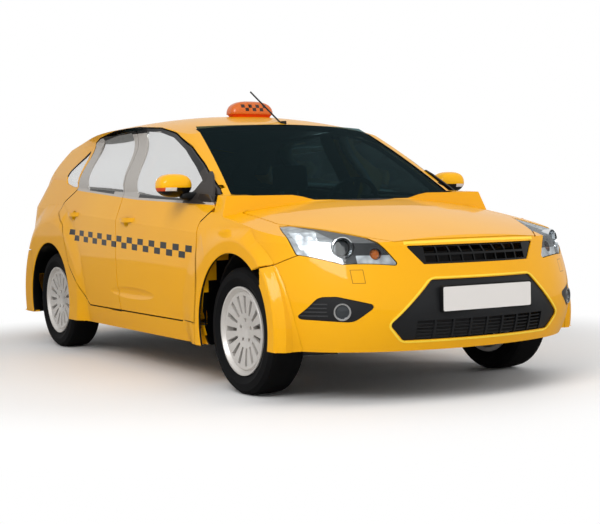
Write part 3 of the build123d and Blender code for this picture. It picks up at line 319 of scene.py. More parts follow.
def surface_of(*names):
    """A search tree over CAD nodes, and the node that each of its faces comes from."""
    vertices, polygons, owners = [], [], []
    for name in names:
        data = NODES[name].data
        start = len(vertices)
        vertices += [v.co.copy() for v in data.vertices]
        polygons += [[start + i for i in p.vertices] for p in data.polygons]
        owners += [name] * len(data.polygons)
    return BVHTree.FromPolygons(vertices, polygons), owners


def cast_inward(tree, sign, y, z, least_x):
    """How far out a side stands at a point, and the face found there, if past least_x."""
    place, _, face, _ = tree.ray_cast(Vector((sign * BESIDE_X, y, z)), Vector((-sign, 0, 0)))
    if place is None or sign * place.x <= least_x:
        return None, None
    return sign * place.x, face


def nose_strip(tree, points, width, lift, closed=False):
    """A raised strip with chamfered edges along points that are cast straight back onto the nose."""
    hits = []
    for p in points:
        place, normal, _, _ = tree.ray_cast(p, AXES[1])
        if place is None:
            place, normal, _, _ = tree.find_nearest(p)
        hits.append((place, -normal if normal.y > 0 else normal))
    rings = []
    count = len(hits)
    for i, (place, normal) in enumerate(hits):
        before = hits[i - 1][0] if i or closed else place
        after = hits[(i + 1) % count][0] if i + 1 < count or closed else place
        across = (after - before).normalized().cross(normal).normalized() * (width / 2)
        section = ((-1, -0.001), (-0.8, lift), (0.8, lift), (1, -0.001))
        rings.append([place + across * share + normal * high for share, high in section])
    return joined_rings(rings, wrap=closed)


def rounded_path(corners, radius, steps=5):
    """Points along a closed polygon in a plane, with its corners rounded."""
    points = []
    count = len(corners)
    for i in range(count):
        here, before, after = (Vector(corners[k % count]) for k in (i, i - 1, i + 1))
        into, out = (before - here), (after - here)
        cut = min(radius, into.length * 0.45, out.length * 0.45)
        a, b = here + into.normalized() * cut, here + out.normalized() * cut
        for s in range(steps + 1):
            t = s / steps
            points.append(a * (1 - t) ** 2 + here * 2 * t * (1 - t) + b * t ** 2)
    return points


def refined(points, spacing, closed=False):
    """The same path with points no farther apart than spacing."""
    made = []
    points = [Vector(p) for p in points]
    for a, b in zip(points, points[1:] + points[:1] if closed else points[1:]):
        pieces = max(1, math.ceil((b - a).length / spacing))
        made += [a.lerp(b, s / pieces) for s in range(pieces)]
    return made if closed else made + [points[-1]]


# ---------- settings


class TaxiPaintSettings(bpy.types.PropertyGroup):
    """Sizes and colours that a user would change."""

    body_colour: bpy.props.FloatVectorProperty(
        name="Body colour", description="Solid yellow of the cab", subtype="COLOR", size=3,
        default=linear("#efae04")[:3]
    )
    checker_width: bpy.props.FloatProperty(
        name="Checker width", description="Length of one checker along the door", unit="LENGTH",
        default=0.0788
    )
    checker_height: bpy.props.FloatProperty(
        name="Checker height", description="Height of one checker", unit="LENGTH", default=0.035
    )
    checker_top: bpy.props.FloatProperty(
        name="Checker top", description="Height of the band's top at its rear end", unit="LENGTH",
        default=0.799
    )
    checker_rear: bpy.props.FloatProperty(
        name="Checker rear", description="Y of the band's rear end", unit="LENGTH", default=0.967
    )
    checker_slope: bpy.props.FloatProperty(
        name="Checker slope", description="Fall of the band for each metre forward", default=0.0386
    )
    checker_columns: bpy.props.IntProperty(
        name="Checker columns", description="Columns of the checker band", default=23
    )


class TaxiTrimSettings(bpy.types.PropertyGroup):
    """Sizes of trim and plates."""

    plate_width: bpy.props.FloatProperty(
        name="Plate width", description="Length of a number plate", unit="LENGTH", default=0.520
    )
    plate_height: bpy.props.FloatProperty(
        name="Plate height", description="Height of a number plate", unit="LENGTH", default=0.112
    )
    lip_width: bpy.props.FloatProperty(
        name="Grille lip width", description="Width of the lip round the lower grille", unit="LENGTH",
        default=0.011
    )
    lip_lift: bpy.props.FloatProperty(
        name="Grille lip lift", description="How far lip and bar stand from the nose", unit="LENGTH",
        default=0.0022
    )


# ---------- materials


def face_mask(tree):
    """1 on faces that look into the cabin, from their normal and place."""
    x, y, z = coordinates(tree)
    normal_x, _, normal_z = coordinates(tree, "Normal")
    outward = normal_x * x + normal_z * (z - CABIN_MID_Z)
    return (outward < INWARD_LIMIT) * (y > CABIN_FRONT_Y) * (y < CABIN_REAR_Y)


def liner_and_lip_shade_mask(tree):
    """1 inside either wheel arch: the black liner, and painted shade in black on the flare lip's inner face."""
    x, y, z = coordinates(tree)
    inward = (coordinates(tree, "Normal")[0] * x < LINER_INWARD_LIMIT) * (z < LINER_TOP_Z)
    high = z - ARCH_Z
    mask = None
    for axle_y in (FRONT_AXLE_Y, REAR_AXLE_Y):
        back = y - axle_y
        away = (back * back + high * high).root()
        for radius, reach, inward_only in LINER_AND_LIP_SHADE_ZONES:
            zone = (away < radius) * (abs(x) < reach)
            zone = zone * inward if inward_only else zone
            mask = mask.most(zone) if mask else zone
    return mask


def cover_mask(tree):
    """1 on the parting line round each washer cover in the front bumper."""
    x, y, z = coordinates(tree)
    reach = (abs(abs(x) - COVER_X) - COVER_HALF_W).most(abs(z - COVER_Z) - COVER_HALF_H)
    return (abs(reach) < COVER_LINE) * (y < COVER_REAR_Y)


def body_tone(tree, settings):
    """The cab's yellow, drifting faintly over 0.9 m, with its primed and parted places, its black liner and
    painted shade on each arch lip's inner face.
    """
    tone = scaled_noise(tree, 900.0).mix(tuple(settings.body_colour) + (1.0,), "#e39d02")
    for mask, colour in ((face_mask, "#26282a"), (cover_mask, "#a06c02"), (liner_and_lip_shade_mask, "#050506")):
        tone = mask(tree).mix(tone, colour)
    return tone


def car_paint(material, tone):
    """Acrylic enamel sprayed and lacquered: deep gloss over a faint orange peel that softens the studio."""
    return principled(
        material, Base_Color=tone, Roughness=0.4, IOR=1.5, Specular_IOR_Level=0.1, Coat_Weight=0.38,
        Coat_Roughness=0.03, Coat_IOR=1.5, Normal=bump(scaled_noise(material.node_tree, 4.0), 0.02, 0.35))


def make_paint(settings):
    """The cab's enamel on panels that carry nothing else."""
    material, tree = new_material("sprayed_yellow_enamel")
    return car_paint(material, body_tone(tree, settings))


def make_door_paint(settings):
    """The same enamel with the black checker film, and dark or grey trim above the belt line."""
    material, tree = new_material("sprayed_yellow_enamel_with_checker_film")
    _, y, z = coordinates(tree)
    back = (y - settings.checker_rear) * -1.0
    top = back * -settings.checker_slope + settings.checker_top
    column, row = back / settings.checker_width, (top - z) / settings.checker_height
    dark = checkers(column, row, float(settings.checker_columns), 0.0)
    belt = y * BELT_RISE + BELT_Z + (y * BELT_REAR_RISE).most(0.0)
    pillar = ((y > PILLAR_FRONT_Y) * (y < PILLAR_REAR_Y)).most(y > REAR_PILLAR_Y) * (z < PILLAR_TOP_Z)
    trim = (y < WINDOW_CORNER_Y).mix(pillar.mix("#0d0d0f", "#a8a39d"), "#2b2724")
    banded = (z > belt - BELT_STRIP_H).mix(dark.mix(body_tone(tree, settings), "#12130d"), "#b3aaa0")
    return car_paint(material, (z > belt).mix(banded, trim))


def make_cowl(settings):
    """Body enamel up to the windscreen, then a black rubber sealing strip."""
    material, tree = new_material("painted_cowl_with_rubber_strip")
    x, _, z = coordinates(tree)
    return car_paint(material, (z > x * x * COWL_BOW + COWL_STRIP_Z).mix(body_tone(tree, settings), "#08090a"))


def make_mirror_cap(settings):
    """Enamelled shell over a black foot, with a clear strip that ends in amber."""
    material, tree = new_material("sprayed_mirror_cap")
    x, y, z = coordinates(tree)
    foot = z < MIRROR_FOOT_Z
    strip = foot * (z > MIRROR_STRIP_Z) * (abs(x) > MIRROR_STRIP_X) * (y < MIRROR_STRIP_Y)
    tone = strip.mix(foot.mix(tuple(settings.body_colour) + (1.0,), "#070708"), "#cfcbc6")
    return car_paint(material, (strip * (abs(x) > MIRROR_LAMP_X)).mix(tone, "#c8461d"))


def make_lip_painted_highlight():
    """The body yellow painted paler on the grille's lip and bar as a painted highlight, which outlines them
    against the body.
    """
    return car_paint(new_material("pale_yellow_lacquer")[0], "#f4cf3c")


def make_plate():
    """Pressed plate under white film: a faint wave takes the flatness off its blank face."""
    material, tree = new_material("pressed_plate_with_white_film")
    wave = bump(scaled_noise(tree, 30.0), 0.1, 0.3)
    return principled(material, Base_Color="#dcd8d4", Roughness=0.35, IOR=1.5, Normal=wave)


def make_inner_metal():
    """Pressed steel, dipped in black primer: dull, with faint cloudy runs."""
    material, tree = new_material("dip_primed_pressed_steel")
    tone = scaled_noise(tree, 120.0).mix("#1b1c1e", "#121315")
    return principled(material, Base_Color=tone, Roughness=0.55, IOR=1.5)


def make_glass(name, colour, mirror, edge_share, sheen="#ffffff"):
    """Tinted clear sheet: mostly seen through, with a share that mirrors the studio, more at its edges."""
    material, tree = new_material(name)
    clear = add_node(tree, "BsdfTransparent", {"Color": colour})
    gloss = add_node(tree, "BsdfGlossy", {"Color": sheen, "Roughness": 0.02})
    edge = Signal(tree, add_node(tree, "LayerWeight", {"Blend": 0.35}).outputs["Fresnel"])
    share = edge * edge_share + mirror
    mixed = add_node(tree, "MixShader", {0: share, 1: clear.outputs[0], 2: gloss.outputs[0]})
    add_node(tree, "OutputMaterial", {"Surface": mixed.outputs[0]})
    return material


def make_plastic(name, colour, roughness, grain_mm, depth_mm):
    """Moulded plastic with a fine grain that breaks up the highlight."""
    material, tree = new_material(name)
    grain = bump(scaled_noise(tree, grain_mm, 3.0), depth_mm, 0.6)
    return principled(
        material, Base_Color=colour, Roughness=roughness, IOR=1.48, Specular_IOR_Level=0.25, Normal=grain)


def make_metal(name, colour, roughness, grain_mm):
    """Metal whose roughness drifts a little, as casting and plating leave it."""
    material, tree = new_material(name)
    limits = {"To Min": roughness * 0.8, "To Max": roughness * 1.25}
    drift = add_node(tree, "MapRange", {"Value": scaled_noise(tree, grain_mm), **limits})
    return principled(material, Base_Color=colour, Metallic=1.0, Roughness=drift.outputs[0])


def make_silver():
    """Silver lacquer on cast alloy: flakes in a clear binder, so it stays light from any side."""
    material, tree = new_material("silver_lacquer_on_cast_alloy")
    flake = scaled_noise(tree, 3.0, 4.0)
    return principled(
        material, Base_Color=flake.mix("#dcd8d3", "#bfbbb6"), Metallic=0.35, Roughness=0.38,
        Coat_Weight=0.5, Coat_Roughness=0.08, Normal=bump(flake, 0.02, 0.2))


def make_tyre():
    """Vulcanised rubber: near black and matt, with a fine skin from the mould."""
    material, tree = new_material("vulcanised_rubber")
    return principled(
        material, Base_Color=scaled_noise(tree, 60.0).mix("#050506", "#0c0c0e"), Roughness=0.8, IOR=1.52,
        Specular_IOR_Level=0.15, Normal=bump(scaled_noise(tree, 2.5), 0.2, 0.4))


def make_cloth():
    """Woven seat cloth: soft ribs every 12 mm, as fine as the render can show."""
    material, tree = new_material("woven_seat_cloth")
    inputs = {"Vector": object_place(tree), "Scale": 1000.0 / 12.0 / (2 * math.pi), "Distortion": 1.5}
    wave = Signal(tree, add_node(tree, "TexWave", inputs).outputs["Fac"])
    return principled(
        material, Base_Color=wave.mix("#2b2f31", "#3a3f42"), Roughness=0.9, IOR=1.45, Sheen_Weight=0.3,
        Normal=bump(wave, 0.6, 0.5))


def make_sign():
    """Tinted acrylic, moulded: orange with two rows of dark checkers and a redder foot."""
    material, tree = new_material("moulded_orange_acrylic")
    x, _, z = coordinates(tree)
    column = (x + SIGN_COLUMN * SIGN_COLUMNS / 2) / SIGN_COLUMN
    dark = checkers(column, (z - SIGN_CHECKER_Z) / SIGN_ROW, SIGN_COLUMNS, 1.0)
    tone = dark.mix((z < SIGN_FOOT_Z).mix("#cf6309", "#dc3a06"), "#2b1204")
    return principled(material, Base_Color=tone, Roughness=0.3, IOR=1.49, Coat_Weight=0.2)


def make_colour_lens(name, colour):
    """Tinted acrylic lens over moulded cells: rich colour under gloss."""
    material, tree = new_material(name)
    return principled(
        material, Base_Color=colour, Roughness=0.12, IOR=1.49, Coat_Weight=0.3, Specular_IOR_Level=0.25,
        Normal=bump(cells(tree, 14.0), 0.8, 0.4))


def make_lamp_unit():
    """Moulded unit: aluminised and facetted on its outer side, black bezel on the inner side."""
    material, tree = new_material("aluminised_lamp_moulding")
    x, y, z = coordinates(tree)
    outer = (abs(x) > REFLECTOR_X) * (z < (y - CREST_Y) * CREST_RISE + CREST_Z)
    bright = outer.most((abs(x) < BEZEL_X) * (z < BEZEL_Z))
    facets = cells(tree, 34.0)
    return principled(
        material, Base_Color=bright.mix("#0b0c0f", facets.mix("#e2e3e3", "#8f9195")), Metallic=bright,
        Roughness=0.3, IOR=1.49, Normal=bump(facets, 3.0, 0.5))


# Columns: finish, material, colour, roughness, grain in mm, its depth in mm
PLASTICS = (
    ("black_gloss", "moulded_black_abs", "#08090a", 0.22, 8.0, 0.01),
    ("black_grain", "grained_black_polypropylene", "#0c0d0e", 0.5, 1.5, 0.08),
    ("charcoal", "grained_charcoal_polypropylene", "#1b1c1e", 0.42, 1.5, 0.08),
    ("cabin", "grained_cabin_polypropylene", "#25282b", 0.6, 2.0, 0.1),
    ("rib", "grained_grey_rib", "#3a3b3d", 0.4, 1.5, 0.05),
    ("sail", "grained_grey_corner_panel", "#2b2724", 0.45, 1.5, 0.05),
)

# Columns: finish, the CAD nodes that have it
NODE_FINISHES = (
    ("paint", ["roof_panel", "front_bumper", "bonnet", "rear_bumper", "tailgate"]
     + sided("fender", "side_frame", "mirror")),
    ("door_paint", sided("front_door", "rear_door")),
    ("inner_metal", ["rear_panel", "floor_pan", "bulkhead", "front_frame"]),
    ("screen", ["windscreen", "tailgate_glass"]),
    ("side_glass", ["quarter_glass"] + sided("front_door_glass", "rear_door_glass")),
    ("clear_lens", ["headlamps"]),
    ("red_lens", ["tail_lamps"]),
    ("black_gloss", ["upper_grille"]),
    ("charcoal", ["lower_grille"]),
    ("lamp_unit", ["lamp_units"]),
    ("cowl", ["cowl"]),
    ("black_grain", ["aerial"]),
    ("chrome", ["fog_lamps"]),
    ("tyre", sided("front_tyre", "rear_tyre")),
    ("alloy", sided("front_rim", "rear_rim")),
    ("steel", ["front_suspension", "rear_axle", "engine_block", "radiator", "exhaust"] + sided("knuckle")),
    ("cloth", ["front_seats", "rear_seat"]),
    ("sign", ["taxi_sign"]),
    ("cabin", ["dashboard", "steering_wheel"]),
)


class TAXI_OT_finishes(bpy.types.Operator):
    """Make every finish and give the CAD nodes theirs"""

    bl_idname = "taxi.finishes"
    bl_label = "Finishes"

    def execute(self, context):
        settings = context.scene.taxi_paint
        FINISHES.update(
            paint=make_paint(settings),
            door_paint=make_door_paint(settings),
            cowl=make_cowl(settings),
            mirror_cap=make_mirror_cap(settings),
            lip=make_lip_painted_highlight(),
            plate=make_plate(),
            inner_metal=make_inner_metal(),
            screen=make_glass("laminated_windscreen_glass", "#9db0b2", 0.01, 0.14, "#7f959b"),
            side_glass=make_glass("tempered_side_glass", "#f6f9f7", 0.66, 0.25),
            clear_lens=make_glass("clear_polycarbonate", "#f8fafb", 0.008, 0.06),
            red_lens=make_colour_lens("tinted_red_acrylic", "#8a0403"),
            amber_lens=make_colour_lens("tinted_amber_acrylic", "#e0700f"),
            fog_glass=make_colour_lens("facetted_fog_glass", "#34383b"),
            chrome=make_metal("chromed_reflector", "#e4e6e8", 0.08, 30.0),
            steel=make_metal("dark_cast_steel", "#4a4a4c", 0.5, 12.0),
            tyre=make_tyre(),
            alloy=make_silver(),
            lamp_unit=make_lamp_unit(),
            cloth=make_cloth(),
            sign=make_sign(),
        )
        for made_of, *plastic in PLASTICS:
            FINISHES[made_of] = make_plastic(*plastic)
        for made_of, names in NODE_FINISHES:
            for name in names:
                NODES[name].data.materials.clear()
                NODES[name].data.materials.append(FINISHES[made_of])
        return {"FINISHED"}


# ---------- pieces


class TAXI_OT_plates(bpy.types.Operator):
    """Blank number plates, front and rear, each in a dark holder"""

    bl_idname = "taxi.plates"
    bl_label = "Number plates"

    def execute(self, context):
        trim = context.scene.taxi_trim
        half_w, half_h = trim.plate_width / 2, trim.plate_height / 2
        # Columns: name, body, panels behind it, centre Z, direction out, lean in degrees
        for name, body, panels, z, out, lean in (
            ("plate_front", "body", ("lower_grille", "front_bumper"), 0.490, -1.0, 0.0),
            ("plate_rear", "tailgate", ("tailgate",), 0.745, 1.0, math.radians(-10.0)),
        ):
            tree, _ = surface_of(*panels)
            stands = []
            for i in range(-6, 7):
                for k in range(-3, 4):
                    x, high = i * half_w / 6, k * half_h / 3
                    hit = tree.ray_cast(Vector((x, out * FAR_Y, z + high)), Vector((0, -out, 0)))[0]
                    if hit is not None:
                        stands.append(out * (hit.y - math.tan(lean) * high))
            if not stands:
                raise RuntimeError(f"{name} finds no surface")
            centre = Vector((0, out * (max(stands) - PLATE_SINK), z))
            turn = Matrix.Rotation(-lean, 3, "X")
            # Columns: part, how much larger than the plate, thickness, how far it stands out, finish
            for part, grow, depth, lift, made_of in (
                ("holder", 0.006, 0.020, 0.0, "black_grain"), ("sheet", 0.0, 0.003, 0.0022, "plate"),
            ):
                w, h = half_w + grow, half_h + grow
                outline = rounded_path([(-w, -h, 0), (w, -h, 0), (w, h, 0), (-w, h, 0)], PLATE_CORNER)
                rings = [
                    [turn @ Vector((p.x, out * (lift - layer), p.y)) + centre for p in outline]
                    for layer in (0.0, depth)]
                fit(f"{name}_{part}", joined_rings(rings), made_of, body)
        return {"FINISHED"}


class TAXI_OT_front_trim(bpy.types.Operator):
    """Lip round the lower grille and the bar over the upper grille, both painted paler as a painted highlight
    """

    bl_idname = "taxi.front_trim"
    bl_label = "Front trim"

    def execute(self, context):
        trim = context.scene.taxi_trim
        nose, _ = surface_of("front_bumper", "lower_grille", "upper_grille", "bonnet")
        # X and Z of each corner, from the left round
        corners = (
            (-0.508, 0.380), (-0.294, 0.588), (0.294, 0.588), (0.508, 0.380), (0.436, 0.296), (-0.436, 0.296),
        )
        path = refined(rounded_path([(x, NOSE_Y, z) for x, z in corners], 0.030), 0.02, closed=True)
        fit("grille_lip", nose_strip(nose, path, trim.lip_width, trim.lip_lift, closed=True), "lip", "body")
        path = refined([(-0.385, NOSE_Y, 0.749), (0.0, NOSE_Y, 0.752), (0.385, NOSE_Y, 0.749)], 0.02)
        fit("grille_bar", nose_strip(nose, path, BAR_WIDTH, trim.lip_lift), "lip", "body")
        return {"FINISHED"}


class TAXI_OT_headlamp_parts(bpy.types.Operator):
    """Projector ring, projector lens and amber cell behind each headlamp lens"""

    bl_idname = "taxi.headlamp_parts"
    bl_label = "Headlamp parts"

    def execute(self, context):
        projector, indicator = (0.640, -1.905, 0.735), (0.515, -1.985, 0.702)
        # Columns: name, centre, steps round, finish, (radius, height) along the closed profile
        parts = (
            ("projector_ring", projector, 48, "chrome",
             ((0.050, -0.050), (0.050, -0.006), (0.046, -0.004), (0.040, -0.020), (0.036, -0.050))),
            ("projector_lens", projector, 40, "clear_lens",
             ((0.0001, -0.016), (0.012, -0.0175), (0.022, -0.022), (0.029, -0.029), (0.0325, -0.036),
              (0.0001, -0.036))),
            ("indicator_cell", indicator, 32, "amber_lens",
             ((0.0001, -0.012), (0.014, -0.013), (0.022, -0.017), (0.026, -0.028), (0.0001, -0.029))),
        )
        for side, sign in SIDES:
            out = Vector((sign * 0.35, -0.93, 0.10)).normalized()
            right = Vector((sign * 0.93, 0.35, 0)).normalized()
            for name, (x, y, z), steps, made_of, profile in parts:
                shape = turned(profile, steps, Vector((sign * x, y, z)), right, out)
                fit(f"{name}_{side}", shape, made_of, "body")
        return {"FINISHED"}


class TAXI_OT_fog_lamp_parts(bpy.types.Operator):
    """Dark glass in each fog lamp, and ribs across its surround"""

    bl_idname = "taxi.fog_lamp_parts"
    bl_label = "Fog lamp parts"

    def execute(self, context):
        surround, _ = surface_of("lower_grille")
        glass = ((0.0001, -0.0035), (0.016, -0.0042), (0.027, -0.006), (0.0325, -0.0078), (0.0001, -0.0079))
        # Columns: height, X of the rib's inner and outer end
        rows = ((0.424, 0.728, 0.812), (0.442, 0.732, 0.800), (0.460, 0.732, 0.788), (0.478, 0.730, 0.774))
        for side, sign in SIDES:
            out = Vector((sign * 0.5, -0.87, 0)).normalized()
            right = Vector((sign * 0.87, 0.5, 0)).normalized()
            shape = turned(glass, 40, Vector((sign * 0.684, -1.961, 0.443)), right, out)
            fit(f"fog_lens_{side}", shape, "fog_glass", "body")
            ribs, faces = [], []
            for z, inner, outer in rows:
                path = refined([(sign * inner, NOSE_Y, z), (sign * outer, NOSE_Y, z)], 0.01)
                points, sides = nose_strip(surround, path, 0.006, 0.0020)
                faces += [tuple(len(ribs) + i for i in face) for face in sides]
                ribs += points
            fit(f"fog_ribs_{side}", (ribs, faces), "rib", "body")
        return {"FINISHED"}


class TAXI_OT_arches(bpy.types.Operator):
    """Thin painted skins that carry each wheel arch smoothly into the panels round it"""

    bl_idname = "taxi.arches"
    bl_label = "Wheel arches"

    def execute(self, context):
        # Columns: end, axle Y, radius where the flare's lip ends, radius where the skin meets the panel,
        # highest Z, panels
        for end, axle_y, lip_r, meet_r, top_z, panels in (
            ("front", FRONT_AXLE_Y, 0.428, 0.600, 0.830,
             ("fender", "front_bumper", "front_door", "side_frame")),
            ("rear", REAR_AXLE_Y, 0.500, 0.640, 0.960, ("side_frame", "rear_door", "rear_bumper")),
        ):
            for side, sign in SIDES:
                names = [p if p.endswith("bumper") else f"{p}_{side}" for p in panels]
                self.skin(f"{end}_{side}", sign, axle_y, lip_r, meet_r, top_z, names)
        return {"FINISHED"}

    def skin(self, label, sign, axle_y, lip_r, meet_r, top_z, names):
        """One skin, made as a grid of angles and radii and parted where the panels under it are."""
        tree, owners = surface_of(*names)
        lips = len(LIP)
        radii = [radius for radius, _ in LIP]
        while radii[-1] < meet_r:
            radii.append(radii[-1] + ARCH_RING)
        angles = [math.radians(ARCH_START + ARCH_SPAN * i / ARCH_STEPS) for i in range(ARCH_STEPS + 1)]
        depth, owner, reach, meet = [], [], [], []
        for a in angles:
            found = [
                cast_inward(tree, sign, axle_y + r * math.cos(a), ARCH_Z + r * math.sin(a), 0.6) for r in radii]
            depth.append([x for x, _ in found])
            owner.append([None if face is None else owners[face] for _, face in found])
            owner[-1][:lips] = [owner[-1][lips]] * lips
            # The skin ends where it may, and there takes the panel's depth and slope
            least = lip_r + SKIN_LEAST
            fade = (math.degrees(a) - FADE_START) / FADE_SPAN if axle_y < 0 else 0.0
            full = meet_r + (least - meet_r) * min(1.0, max(0.0, fade))
            reach.append(max(least, min((top_z - ARCH_Z) / max(math.sin(a), 0.2), full)))
            under = [
                (r, x) for r, x in zip(radii[lips:], depth[-1][lips:]) if x is not None and r <= reach[-1]]
            if len(under) < 4:
                meet.append(None)
                continue
            (r0, x0), (r1, x1) = under[-4], under[-1]
            meet.append((x1, min(0.0, max(STEEPEST, (x1 - x0) / (r1 - r0)))))
        grid = []
        for i, a in enumerate(angles):
            near = [m for m in meet[max(0, i - 3) : i + 4] if m is not None] or [(SKIN_END_X, 0.0)]
            end_x, slope = (sorted(column)[len(near) // 2] for column in zip(*near))
            line = []
            for k, r in enumerate(radii):
                if k < lips:
                    x = LIP[k][1]
                else:
                    t = min(1.0, max(0.0, (r - lip_r) / (reach[i] - lip_r)))
                    x = FLARE_X + (end_x - FLARE_X) * t * t * (3 - 2 * t)
                    x += (t ** 3 - t * t) * (reach[i] - lip_r) * slope
                    x = max(x, (depth[i][k] or 0) + SKIN_LIFT)
                line.append(Vector((sign * x, axle_y + r * math.cos(a), ARCH_Z + r * math.sin(a))))
            grid.append(line)
        for name in names:
            made, faces, index = [], [], {}
            for i in range(ARCH_STEPS):
                for k in range(len(radii) - 1):
                    corners = ((i, k), (i + 1, k), (i + 1, k + 1), (i, k + 1))
                    if any(owner[m][n] != name or radii[n] > reach[m] + ARCH_RING for m, n in corners):
                        continue
                    for m, n in corners:
                        if (m, n) not in index:
                            index[m, n] = len(made)
                            made.append(grid[m][n])
                    faces.append(tuple(index[corner] for corner in corners))
            if len(faces) < LEAST_FACES:
                continue
            data = mesh_from(made, faces, f"arch_{label}_{name}")
            if sum(p.normal.x for p in data.polygons) * sign < 0:
                data.flip_normals()
            door = "door" in name
            fit(data.name, data, "door_paint" if door else "paint", name if door else "body")


class TAXI_OT_mirrors(bpy.types.Operator):
    """Rounded door mirrors: painted cap, black arm and silvered glass"""

    bl_idname = "taxi.mirrors"
    bl_label = "Door mirrors"

    def execute(self, context):
        def cap(q):
            """Flatten the side toward the driver, and narrow the cap downward."""
            narrow = 1 - 0.16 * max(0.0, -q.z) ** 1.5 - 0.05 * max(0.0, q.z)
            return Vector((q.x * narrow, min(q.y, 0.78) * narrow, q.z))

        for side, sign in SIDES:
            # Columns: name, centre, half size, how square in plan, how square in height, grid cuts, shape,
            # finish, slot, replaced
            for name, (x, y, z), half, plan, crown, cuts, shape, made_of, slot, replaced in (
                ("mirror_cap", (0.914, -0.670, 1.047), (0.094, 0.070, 0.062), 3.2, 2.7, 26, cap,
                 "mirror_cap", "paint", (f"mirror_{side}",)),
                ("mirror_arm", (0.828, -0.702, 0.990), (0.062, 0.028, 0.022), 4.0, 3.0, 14, None,
                 "black_grain", "black_trim", ()),
                ("mirror_pane", (0.914, -0.6155, 1.050), (0.078, 0.002, 0.048), 4.0, 3.6, 20, None,
                 "chrome", "glass", ()),
            ):
                name = f"{name}_{side}"
                data = superform(name, (sign * x, y, z), half, plan, crown, cuts, shape)
                fit(name, data, made_of, f"front_door_{side}", replaced)
        return {"FINISHED"}


class TAXI_OT_sails(bpy.types.Operator):
    """Dark corner panels at the front foot of the side windows"""

    bl_idname = "taxi.sails"
    bl_label = "Window corner panels"

    def execute(self, context):
        # Y and Z of each corner, from the front tip round
        corners = (
            (-0.950, 0.944), (-0.655, 0.955), (-0.655, 1.004), (-0.690, 1.016), (-0.715, 1.125),
            (-0.765, 1.098), (-0.868, 1.022),
        )
        outline = rounded_path([(0.0, y, z) for y, z in corners], 0.010)
        for side, sign in SIDES:
            tree, _ = surface_of(f"front_door_{side}", f"side_frame_{side}", f"fender_{side}")
            rows, values = [], []
            for i in range(9):
                for k in range(7):
                    y, z = -0.93 + 0.03 * i, 0.94 + 0.025 * k
                    x, _ = cast_inward(tree, sign, y, z, 0.70)
                    if x is not None:
                        rows.append((1.0, y, z))
                        values.append(x)
            # The plane that lies best on the panels: its X, and how X changes with Y and Z
            start, by_y, by_z = np.linalg.lstsq(np.array(rows), np.array(values), rcond=None)[0]
            rings = [
                [(sign * (start + by_y * p.y + by_z * p.z + lift), p.y, p.z) for p in outline]
                for lift in (0.009, -0.003)]
            fit(f"sail_{side}", joined_rings(rings), "sail", f"front_door_{side}")
        return {"FINISHED"}


class TAXI_OT_roof_sign(bpy.types.Operator):
    """Rounded roof sign on a narrower foot"""

    bl_idname = "taxi.roof_sign"
    bl_label = "Roof sign"

    def execute(self, context):
        # Columns: height, half width, half depth
        rows = (
            (1.4672, 0.120, 0.048), (1.4700, 0.124, 0.051), (1.4900, 0.138, 0.060), (1.4925, 0.139, 0.061),
            (1.4930, 0.146, 0.0655), (1.4975, 0.148, 0.067), (1.5150, 0.1465, 0.065), (1.5300, 0.142, 0.061),
            (1.5420, 0.135, 0.056), (1.5530, 0.124, 0.049), (1.5620, 0.109, 0.041), (1.5690, 0.090, 0.032),
            (1.5735, 0.066, 0.022), (1.5760, 0.040, 0.013), (1.5768, 0.012, 0.004),
        )
        fit("roof_sign", lofted(0.0, 0.150, rows), "sign", "body", ("taxi_sign",), 40.0)
        return {"FINISHED"}


def cushion_shape(channels, depth):
    """Seam round the edge, sides that pull in, and sewn channels across the crown."""

    def shape(q):
        seam = math.exp(-((q.z / 0.09) ** 2))
        pull = 1 - 0.035 * (1 - q.y * q.y) - 0.022 * seam
        sunk = sum(math.exp(-(((q.x - c) / 0.045) ** 2)) for c in channels)
        return Vector((q.x * pull, q.y * (1 - 0.03 * (1 - q.x * q.x) - 0.022 * seam), q.z * (1 - depth * sunk)))

    return shape


def pad(name, centre, lean, half, channels, depth, node):
    """A padded cushion: half is width, length and thickness; lean is its tilt back from level in degrees."""
    turn = Matrix.Rotation(math.radians(lean), 3, "X")
    axes = [turn @ axis for axis in AXES]
    data = superform(name, centre, half, 6.0, 3.0, 34, cushion_shape(channels, depth), axes)
    piece = fit(name, data, "cloth", "body", (node,), 60.0)


class TAXI_OT_front_seats(bpy.types.Operator):
    """Padded front seats with head restraints on plastic bases"""

    bl_idname = "taxi.front_seats"
    bl_label = "Front seats"

    def execute(self, context):
        stem = ((0.0001, -0.060), (0.006, -0.060), (0.006, 0.060), (0.0001, 0.060))
        # Columns: name, centre Y and Z, lean, half size, channels, their depth
        pads = (
            ("seat_cushion", -0.062, 0.378, -3.0, (0.250, 0.262, 0.072), (-0.5, 0.5), 0.10),
            ("seat_back", 0.232, 0.700, 79.0, (0.245, 0.290, 0.062), (-0.52, 0.52), 0.10),
            ("head_restraint", 0.284, 1.098, 84.0, (0.128, 0.088, 0.044), (), 0.0),
        )
        for side, sign in SIDES:
            x = sign * 0.360
            for name, y, z, lean, half, channels, depth in pads:
                pad(f"{name}_{side}", (x, y, z), lean, half, channels, depth, "front_seats")
            name = f"seat_base_{side}"
            base = superform(name, (x, -0.025, 0.282), (0.200, 0.225, 0.034), 8.0, 6.0, 12)
            fit(name, base, "cabin", "body")
            for n, shift in enumerate((-0.055, 0.055)):
                shape = turned(stem, 20, Vector((x + shift, 0.281, 1.000)), AXES[0], AXES[2])
                fit(f"head_stem_{side}_{n}", shape, "chrome", "body")
        return {"FINISHED"}


